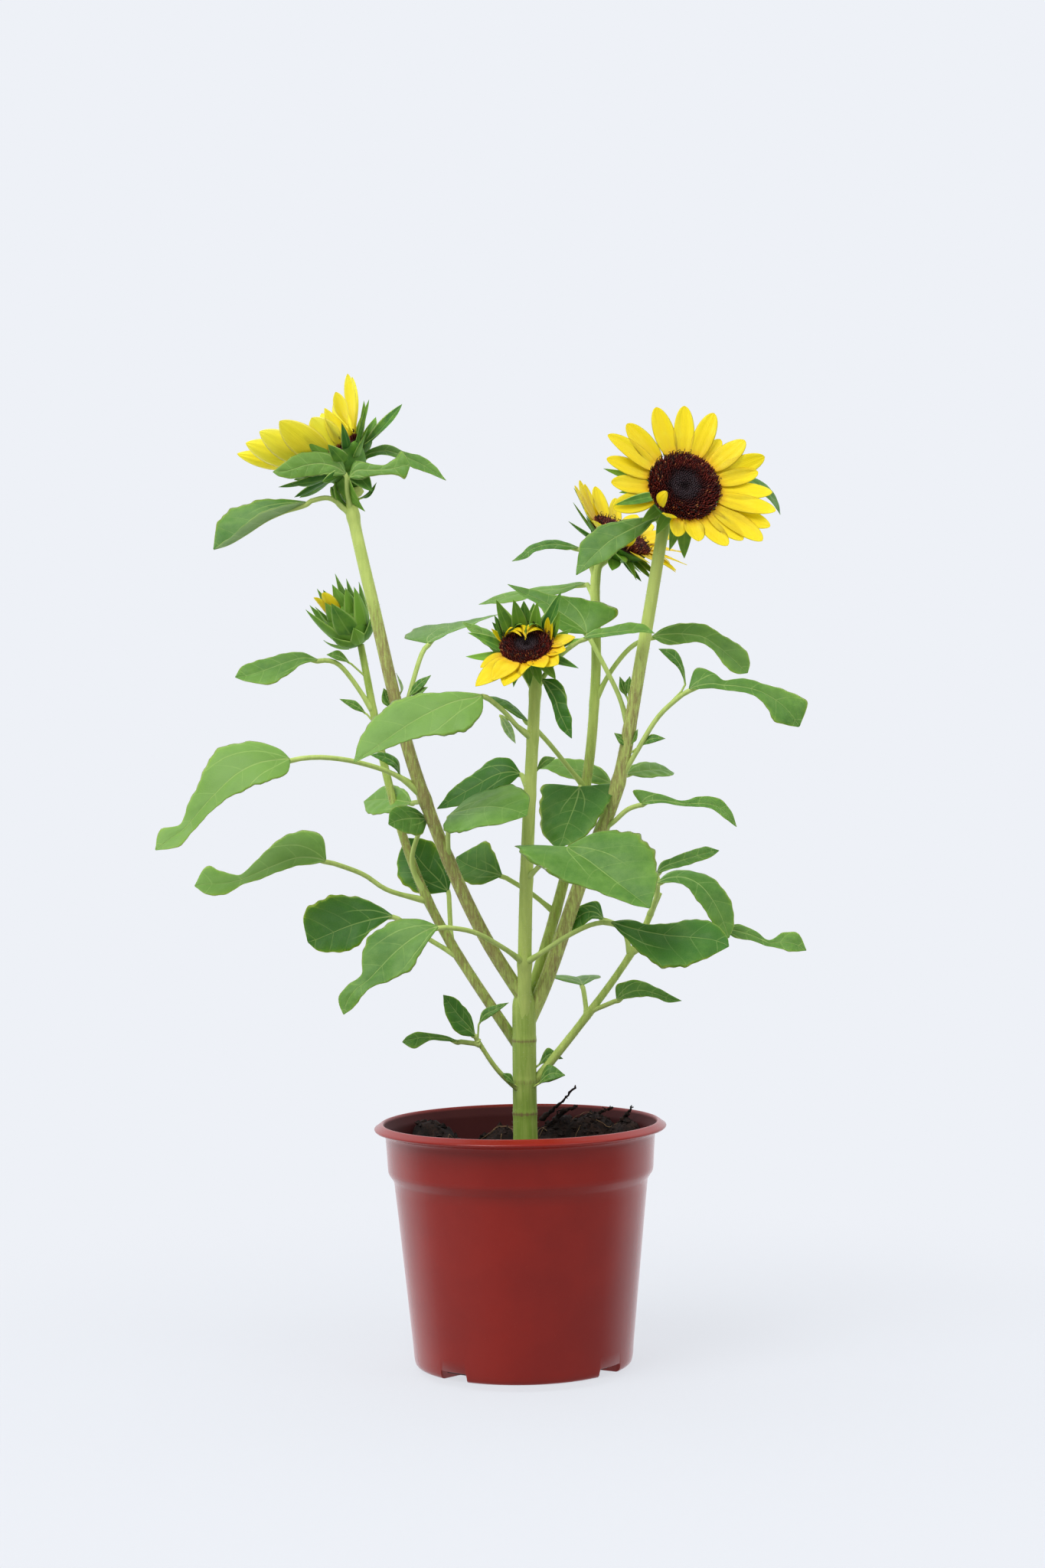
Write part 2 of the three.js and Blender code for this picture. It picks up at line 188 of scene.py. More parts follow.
def piece(name, shape, materials, replaces=(), flat=False):
    """Turns a shape in millimetres into a smooth-shaded object that rides on the plant."""
    mesh = bpy.data.meshes.new(name)
    loops = np.concatenate([part.reshape(-1) for part in shape.faces])
    sizes = np.concatenate([np.full(len(part), part.shape[1]) for part in shape.faces])
    starts = np.concatenate([[0], np.cumsum(sizes)[:-1]])
    mesh.vertices.add(len(shape.points))
    mesh.vertices.foreach_set("co", (shape.points * MM).astype(np.float32).reshape(-1))
    mesh.loops.add(len(loops))
    mesh.loops.foreach_set("vertex_index", loops.astype(np.int32))
    mesh.polygons.add(len(sizes))
    mesh.polygons.foreach_set("loop_start", starts.astype(np.int32))
    mesh.polygons.foreach_set("loop_total", sizes.astype(np.int32))
    mesh.polygons.foreach_set("material_index", np.concatenate(shape.material).astype(np.int32))
    mesh.polygons.foreach_set("use_smooth", np.full(len(sizes), not flat))
    for key, value in shape.values.items():
        mesh.attributes.new(key, "FLOAT", "POINT").data.foreach_set("value", value.astype(np.float32))
    mesh.update(calc_edges=True)
    mesh.validate()
    for material in materials:
        mesh.materials.append(material)
    thing = bpy.data.objects.new(name, mesh)
    bpy.context.scene.collection.objects.link(thing)
    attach(thing, "root")
    if replaces:
        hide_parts(*replaces)
    return thing


# ---- shader maths ----
class Number:
    """A shader socket: arithmetic on it adds Math nodes."""

    def __init__(self, finish, socket):
        self.finish = finish
        self.socket = socket

    def math(self, operation, *others, first=None):
        values = dict(enumerate((first if first is not None else self,) + others))
        return self.finish.node("Math", {"operation": operation}, values)

    def __add__(self, other):
        return self.math("ADD", other)

    def __mul__(self, other):
        return self.math("MULTIPLY", other)

    def __sub__(self, other):
        return self.math("SUBTRACT", other)

    def __rsub__(self, other):
        return self.math("SUBTRACT", self, first=other)

    def __truediv__(self, other):
        return self.math("DIVIDE", other)

    def __abs__(self):
        return self.math("ABSOLUTE")

    def share(self, low, high):
        """0 at low and 1 at high, smoothly between."""
        settings = {"interpolation_type": "SMOOTHSTEP"}
        return self.finish.node("MapRange", settings, {"Value": self, "From Min": low, "From Max": high})


class Nodes:
    """Makes the nodes of one node tree."""

    def __init__(self, tree):
        self.tree = tree

    def node(self, kind, settings=None, inputs=None, output=0):
        """A new node, its settings set first, then its inputs given as values or links."""
        made = self.tree.nodes.new("ShaderNode" + kind)
        for key, value in (settings or {}).items():
            setattr(made, key, value)
        for key, value in (inputs or {}).items():
            if isinstance(value, Number):
                self.tree.links.new(value.socket, made.inputs[key])
            else:
                made.inputs[key].default_value = value
        return Number(self, made.outputs[output])


class Finish(Nodes):
    """A material whose Principled shader is fed by node expressions."""

    def __init__(self, name, **constants):
        self.material = bpy.data.materials.new(name)
        self.material.use_nodes = True
        super().__init__(self.material.node_tree)
        self.shader = next(node for node in self.tree.nodes if node.type == "BSDF_PRINCIPLED")
        for socket, value in constants.items():
            self.shader.inputs[socket.replace("_", " ")].default_value = value

    def value(self, name):
        """A point attribute of the mesh."""
        return self.node("Attribute", {"attribute_name": name}, output="Fac")

    def place(self, scale=(1.0, 1.0, 1.0)):
        """Object coordinates, scaled."""
        where = self.node("TexCoord", output="Object")
        return self.node("Mapping", None, {"Vector": where, "Scale": scale})

    def pair(self, x, y):
        """A flat pattern's coordinates from two numbers."""
        return self.node("CombineXYZ", None, {0: x, 1: y, 2: 0.0})

    def noise(self, vector, scale, detail=3.0, rough=0.5):
        """Cloudy values round 0.5."""
        inputs = {"Vector": vector, "Scale": scale, "Detail": detail, "Roughness": rough, "Distortion": 0.0}
        return self.node("TexNoise", None, inputs)

    def flat_cells(self, vector, scale):
        """The distance to the nearest wall between cells of a flat pattern."""
        settings = {"feature": "DISTANCE_TO_EDGE", "voronoi_dimensions": "2D"}
        return self.node("TexVoronoi", settings, {"Vector": vector, "Scale": scale})

    def blend(self, a, b, factor):
        """Colour a, and b where factor is 1."""
        a, b = (value if isinstance(value, Number) else (*value, 1.0) for value in (a, b))
        settings = {"data_type": "RGBA", "blend_type": "MIX"}
        return self.node("Mix", settings, {0: factor, 6: a, 7: b}, output=2)

    def feed(self, bump=None, depth=0.0005, **inputs):
        """Links the shader's inputs, and a height through a Bump node into its normal."""
        for key, value in inputs.items():
            self.tree.links.new(value.socket, self.shader.inputs[key.replace("_", " ")])
        if bump is not None:
            normal = self.node("Bump", None, {"Height": bump, "Distance": depth, "Strength": 1.0})
            self.tree.links.new(normal.socket, self.shader.inputs["Normal"])
        return self.material


def linear(red, green, blue):
    """A colour given in 0-255 display values, as the linear values that nodes take."""
    shares = (red / 255, green / 255, blue / 255)
    return tuple(c / 12.92 if c <= 0.04045 else ((c + 0.055) / 1.055) ** 2.4 for c in shares)


# ---- finishes ----
# Light that comes through thin blades.
GLOW = {"Subsurface_Weight": 0.5, "Subsurface_Radius": (1.0, 1.0, 0.4)}


def leaf_finish(name, fresh, deep, vein_color, vein_strength, rough):
    """A blade: two greens by tone and cloudy noise, a pale midrib with a strong pair of veins from the
    base, fainter laterals where the vein count is half way between whole numbers, and a fine net."""
    paint = Finish(name, Roughness=rough, Specular_IOR_Level=0.28, **GLOW, Subsurface_Scale=0.0008)
    across, along = paint.value("across"), paint.value("along")
    count, gap, tone = paint.value("vein"), paint.value("gap"), paint.value("tone")
    cloudy = paint.noise(paint.place(), 45.0, 4.0, 0.6)
    mottled = paint.noise(paint.place(), 260.0, 3.0, 0.6)
    wander = (mottled - 0.5) * 0.5
    side = abs(across)
    lateral = abs(count.math("FRACT") - 0.5) * gap + wander
    lateral_mask = (1.0 - (lateral / 0.34).share(0.4, 1.3)) * (1.0 - side.share(2.0, 16.0) * 0.6)
    pair = abs(along * 0.62 * (1.0 - along / (gap * 5.0)) - side) + wander
    pair_mask = (1.0 - (pair / 0.42).share(0.4, 1.3)) * (1.0 - (along / gap).share(1.2, 2.8))
    midrib_mask = 1.0 - (side / ((along / gap) * -0.11 + 0.62).math("MAXIMUM", 0.2)).share(0.4, 1.3)
    net = paint.flat_cells(paint.pair(across, along), 0.62)
    net_mask = 1.0 - net.share(0.02, 0.16)
    veins = midrib_mask.math("MAXIMUM", pair_mask * 0.8).math("MAXIMUM", lateral_mask * 0.42)
    green = paint.blend(fresh, deep, (tone + (cloudy - 0.5) * 0.9 + (mottled - 0.5) * 0.4).share(0.0, 1.0))
    green = paint.blend(green, vein_color, net_mask * 0.05 * vein_strength)
    green = paint.blend(green, vein_color, veins * vein_strength)
    relief = (cloudy * 0.25 + mottled * 0.25) - veins * 0.5 - net_mask * 0.07
    shine = cloudy * 0.16 + (rough - 0.08)
    return paint.feed(Base_Color=green, Roughness=shine, bump=relief, depth=0.0003)


def stem_finish(name, light, dark, fleck_color):
    """A stem: long streaks of two greens, and brown streaks as thick as the fleck value says."""
    paint = Finish(name, Roughness=0.62, Specular_IOR_Level=0.3)
    streaks = paint.noise(paint.place((1.0, 1.0, 0.08)), 420.0, 3.0, 0.6)
    cloudy = paint.noise(paint.place(), 40.0, 3.0, 0.5)
    spots = paint.noise(paint.place((1.0, 1.0, 0.14)), 750.0, 3.0, 0.7)
    fleck = paint.value("fleck")
    shade = streaks * 0.7 + cloudy * 0.5 - 0.1 + (paint.value("tone") - 0.5)
    green = paint.blend(light, dark, shade.share(0.1, 0.9))
    mask = (spots + fleck * 0.4 - 0.66).share(-0.06, 0.34) * fleck.share(0.02, 0.4)
    green = paint.blend(green, fleck_color, mask * 0.72)
    return paint.feed(Base_Color=green, bump=streaks * 0.6 + spots * 0.4, depth=0.0004)


def petal_finish():
    """A ray petal: clear yellow, deeper at its foot and in its fine grooves, deeper all over where the
    tone is above 0, and paler lemon where it is below, which is painted light on the shaded backs of
    the left bloom's rays."""
    paint = Finish("ray_yellow", Roughness=0.5, Specular_IOR_Level=0.25, **GLOW, Subsurface_Scale=0.002)
    along, across, tone = paint.value("along"), paint.value("across"), paint.value("tone")
    grooves = paint.noise(paint.pair(across * 1.4, along * 0.05), 1.3, 2.0, 0.5)
    cloudy = paint.noise(paint.place(), 120.0, 3.0, 0.5)
    clear, deep = linear(234, 200, 12), linear(228, 152, 4)
    yellow = paint.blend(clear, deep, (1.0 - along / 8.0).share(0.0, 1.1) * 0.85)
    yellow = paint.blend(yellow, linear(244, 226, 60), (cloudy - 0.45).share(0.0, 0.3) * 0.3)
    yellow = paint.blend(yellow, deep, (grooves - 0.5).share(0.0, 0.3) * 0.22 + tone.share(0.0, 1.0) * 0.5)
    # Paler lemon where the tone is below 0: painted light on the shaded backs of the left bloom's rays.
    yellow = paint.blend(yellow, linear(252, 244, 66), (0.0 - tone).share(0.0, 1.0))
    return paint.feed(Base_Color=yellow, bump=grooves, depth=0.0002)


def disc_finish():
    """The florets: black with a painted grey sheen on their tips round a black eye, then maroon, with rusty
    tips towards the rim.
    """
    paint = Finish("floret_brown", Roughness=0.6, Specular_IOR_Level=0.3)
    out, tip, tone = paint.value("out"), paint.value("tip"), paint.value("tone")
    grain = paint.noise(paint.place(), 900.0, 2.0, 0.6)
    maroon = (out + (tone - 0.5) * 0.25).share(0.30, 0.62)
    brown = paint.blend(linear(30, 17, 20), linear(72, 20, 16), maroon)
    # A painted grey sheen on the floret tips round the eye, not a colour of their own.
    painted_grey_sheen = (out - 0.05).share(0.0, 0.15) * (1.0 - out.share(0.30, 0.5)) * tip
    brown = paint.blend(brown, linear(92, 78, 84), painted_grey_sheen * 0.55)
    brown = paint.blend(brown, linear(150, 50, 32), (out - 0.45).share(0.0, 0.3) * tip * tone * 0.75)
    open_tips = (tone - 0.9).share(0.0, 0.08) * tip * (out - 0.5).share(0.0, 0.2)
    brown = paint.blend(brown, linear(214, 150, 90), open_tips * 0.7)
    return paint.feed(Base_Color=brown, bump=grain, depth=0.0003)


def bract_finish():
    """A bract: fresh green with a paler middle line and paler margins."""
    paint = Finish("bract_green", Roughness=0.6, Specular_IOR_Level=0.25, **GLOW, Subsurface_Scale=0.0004)
    edge = paint.value("edge")
    cloudy = paint.noise(paint.place(), 150.0, 3.0, 0.55)
    shade = (cloudy + paint.value("tone") - 0.5).share(0.1, 0.9)
    green = paint.blend(linear(112, 158, 50), linear(52, 106, 34), shade)
    green = paint.blend(green, linear(176, 204, 112), edge.share(0.78, 1.0) * 0.5)
    green = paint.blend(green, linear(150, 186, 84), (1.0 - edge).share(0.88, 1.0) * 0.4)
    return paint.feed(Base_Color=green, bump=cloudy, depth=0.0002)


def pot_finish():
    """Terracotta-red moulded plastic: faint cloudiness and a soft shine, duller inside, and painted darker
    inside as painted shade.
    """
    paint = Finish("pot_red", Specular_IOR_Level=0.34)
    cloudy = paint.noise(paint.place(), 14.0, 4.0, 0.6)
    grain = paint.noise(paint.place(), 700.0, 2.0, 0.6)
    inside = paint.value("inside")
    red = paint.blend(linear(144, 28, 14), linear(132, 24, 13), cloudy.share(0.3, 0.7))
    red = paint.blend(red, linear(168, 66, 50), (grain - 0.66).share(0.0, 0.1) * 0.15)
    # The inside is painted a darker red: painted shade in the pot's hollow.
    red = paint.blend(red, linear(66, 3, 5), inside)
    shine = cloudy * 0.06 + grain * 0.05 + 0.17 + inside * 0.5
    return paint.feed(Base_Color=red, Roughness=shine, bump=grain, depth=0.00003)


def compost_finish():
    """Damp peat: nearly black, with brown crumbs and a few pale fibres' worth of grain."""
    paint = Finish("compost_dark", Roughness=0.9, Specular_IOR_Level=0.3)
    coarse = paint.noise(paint.place(), 110.0, 5.0, 0.7)
    fine = paint.noise(paint.place(), 600.0, 3.0, 0.7)
    crumbly = (coarse * 0.6 + fine * 0.6 - 0.35).share(0.1, 0.5)
    brown = paint.blend(linear(16, 9, 8), linear(54, 34, 27), crumbly)
    brown = paint.blend(brown, linear(110, 84, 62), (fine - 0.66).share(0.0, 0.1) * 0.5)
    return paint.feed(Base_Color=brown, bump=coarse * 0.6 + fine * 0.4, depth=0.0012)


def plain_finish(name, color, other, scale, rough):
    """Two near colours in cloudy patches."""
    paint = Finish(name, Roughness=rough, Specular_IOR_Level=0.3)
    cloudy = paint.noise(paint.place(), scale, 3.0, 0.6)
    patches = paint.blend(color, other, cloudy.share(0.3, 0.7))
    return paint.feed(Base_Color=patches, bump=cloudy, depth=0.0003)


UPPER = leaf_finish(
    "leaf_upper", linear(112, 152, 66), linear(50, 104, 20), linear(172, 196, 112), 0.45, 0.52,
)
UNDER = leaf_finish(
    "leaf_under", linear(162, 190, 130), linear(126, 158, 96), linear(200, 216, 160), 0.6, 0.62,
)
STALK = stem_finish("stalk_green", linear(190, 208, 118), linear(138, 168, 66), linear(112, 78, 66))
STEM = stem_finish("stem_green", linear(192, 208, 112), linear(120, 152, 50), linear(122, 86, 66))
PETAL = petal_finish()
DISC = disc_finish()
BRACT = bract_finish()
POT = pot_finish()
COMPOST = compost_finish()
FIBRE = plain_finish("root_fibre", linear(150, 120, 88), linear(96, 70, 50), 300.0, 0.8)
HAIR = plain_finish("stem_hair", linear(232, 238, 214), linear(214, 224, 190), 300.0, 0.5)

# ---- stems ----
# Each stem runs through a few waypoints, with its radius at foot and tip, the heights between which it is
# flecked, how thickly, and its tone.
stem_plans = {
    "trunk": {"way": [(3, 0, 113.4), (3, 0, 160), (3.5, 0, 224)], "radius": (7.2, 6.7), "tone": 0.6},
    "front": {
        "way": [
            (3, 0, 165), (3.5, -3, 205), (5, -10, 260), (8, -15, 320), (12, -20, 380), (13, -20, 400),
            (10, -18, 407),
        ],
        "radius": (4.4, 3.2), "tone": 0.3,
    },
    "tall_left": {
        "way": [
            (5, -1, 208), (-20, -5, 250), (-42, -8, 300), (-62, -10, 360), (-80, -10, 440), (-92, -5, 498),
            (-88, 0, 509),
        ],
        "radius": (4, 3.3), "fleck": (225, 430, 0.95), "tone": 0.3,
    },
    "tall_right": {
        "way": [
            (5, 2, 196), (18, 3, 225), (40, 3, 285), (60, 0, 335), (75, -5, 410), (86, -8, 470),
            (91, -2, 495), (96, -5, 499),
        ],
        "radius": (4.4, 3.4), "fleck": (215, 400, 0.8), "tone": 0.2,
    },
    "back_right": {
        "way": [(6, 8, 208), (25, 15, 268), (42, 25, 335), (49, 30, 400), (50, 36, 458), (56, 38, 470)],
        "radius": (3.3, 2.8), "fleck": (240, 360, 0.5), "tone": 0.4,
    },
    "bud": {
        "way": [(3, 2, 178), (-37, 10, 240), (-59, 15, 285), (-75, 20, 340), (-90, 25, 420)],
        "radius": (3.2, 2), "fleck": (190, 330, 0.75), "tone": 0.5,
    },
    "low_right": {
        "way": [(5, 0, 158), (40, 5, 200), (68, 10, 238), (84, 14, 271)],
        "radius": (2.6, 1.7), "tone": 0.4,
    },
    "low_left": {
        "way": [(4, -2, 154), (-12, -8, 170), (-25, -12, 190)],
        "radius": (1.6, 1.2), "tone": 0.45,
    },
}
SCAR_HEIGHTS = (144.5, 163, 187)  # of the trunk's leaf scars
STEM_SIDES = 28
STEM_STEP = 1.6  # between the rings of a stem, which are also the steps that hairs are counted by
HAIRS_PER_STEP = 7
HAIR_LENGTH = 1.1
HAIR_RADIUS = 0.07


def stem_line(plan):
    """The middle line of a stem."""
    way = plan["way"]
    length = sum(math.dist(a, b) for a, b in zip(way, way[1:]))
    return smooth_line(way, int(length / STEM_STEP))


def at_height(line, height):
    """The point where a rising line passes a height."""
    return np.array([np.interp(height, line[:, 2], line[:, k]) for k in range(3)])


def stem_shape(name, plan, joints):
    """A stem: a rod whose radius is its taper times 1 + 0.022 cos(8a + 3s), which gives eight faint ribs,
    and times 1 + 0.07 hump at each leaf joint. The trunk also flares at its foot, is ringed by its leaf
    scars and narrows at its end, where the front stem grows on from it."""
    line = stem_line(plan)
    share = np.linspace(0, 1, len(line))
    radius = mix(*plan["radius"], share)
    for height in joints:
        radius = radius * (1 + 0.07 * hump(line[:, 2], height, 3.5))
    fleck = np.zeros(len(line))
    if "fleck" in plan:
        low, high, strength = plan["fleck"]
        fading = 1 - smooth(high - 30, high + 50, line[:, 2])
        fleck = strength * smooth(low - 40, low + 20, line[:, 2]) * fading
    tone = np.full(len(line), plan["tone"])
    if name == "trunk":
        radius = radius * (1 + 0.14 * np.exp(-12 * share))
        for height in SCAR_HEIGHTS:
            radius = radius * (1 + 0.05 * hump(line[:, 2], height, 1.6))
            fleck = fleck + 1.3 * hump(line[:, 2], height, 0.9)
        radius = radius * (1 - 0.6 * smooth(0.84, 1.0, share))
        # The trunk's tone: darker near its foot, as painted shade under the canopy, and lighter towards its
        # end.
        tone = tone + 0.1 * (1 - smooth(0.1, 0.6, share)) - 0.2 * smooth(0.6, 1, share)
    ribbed = radius[:, None] * (1 + 0.022 * np.cos(8 * round_angles(STEM_SIDES) + 3 * share[:, None]))
    return rod(line, ribbed, STEM_SIDES, fleck=fleck[:, None], tone=tone[:, None])


def hairs(line, radii, rng):
    """Thin three-sided spikes that stand out from a stem, each leaning a little at random."""
    count = len(line) * HAIRS_PER_STEP
    share = rng.uniform(0.02, 0.98, count)
    root = np.stack([np.interp(share, np.linspace(0, 1, len(line)), line[:, k]) for k in range(3)], -1)
    nearby = np.minimum((share * len(line)).astype(int), len(line) - 2)
    outward = unit(np.cross(line[nearby + 1] - line[nearby], rng.normal(0, 1, (count, 3))))
    root = root + outward * mix(*radii, share)[:, None] * 0.97
    lean = unit(outward + rng.normal(0, 0.3, (count, 3)))
    side = unit(np.cross(lean, [0.3, 0.5, 0.8]))
    other = np.cross(lean, side)
    thirds = (0, 2 * math.pi / 3, 4 * math.pi / 3)
    corners = [root + HAIR_RADIUS * (side * math.cos(a) + other * math.sin(a)) for a in thirds]
    tips = root + lean * HAIR_LENGTH * rng.uniform(0.5, 1.3, count)[:, None]
    points = np.stack([*corners, tips], 1)
    first = 4 * np.arange(count)[:, None]
    corner_sets = ((0, 1, 3), (1, 2, 3), (2, 0, 3), (2, 1, 0))
    return Shape(points, [np.concatenate([first + np.array(corner_set) for corner_set in corner_sets])])
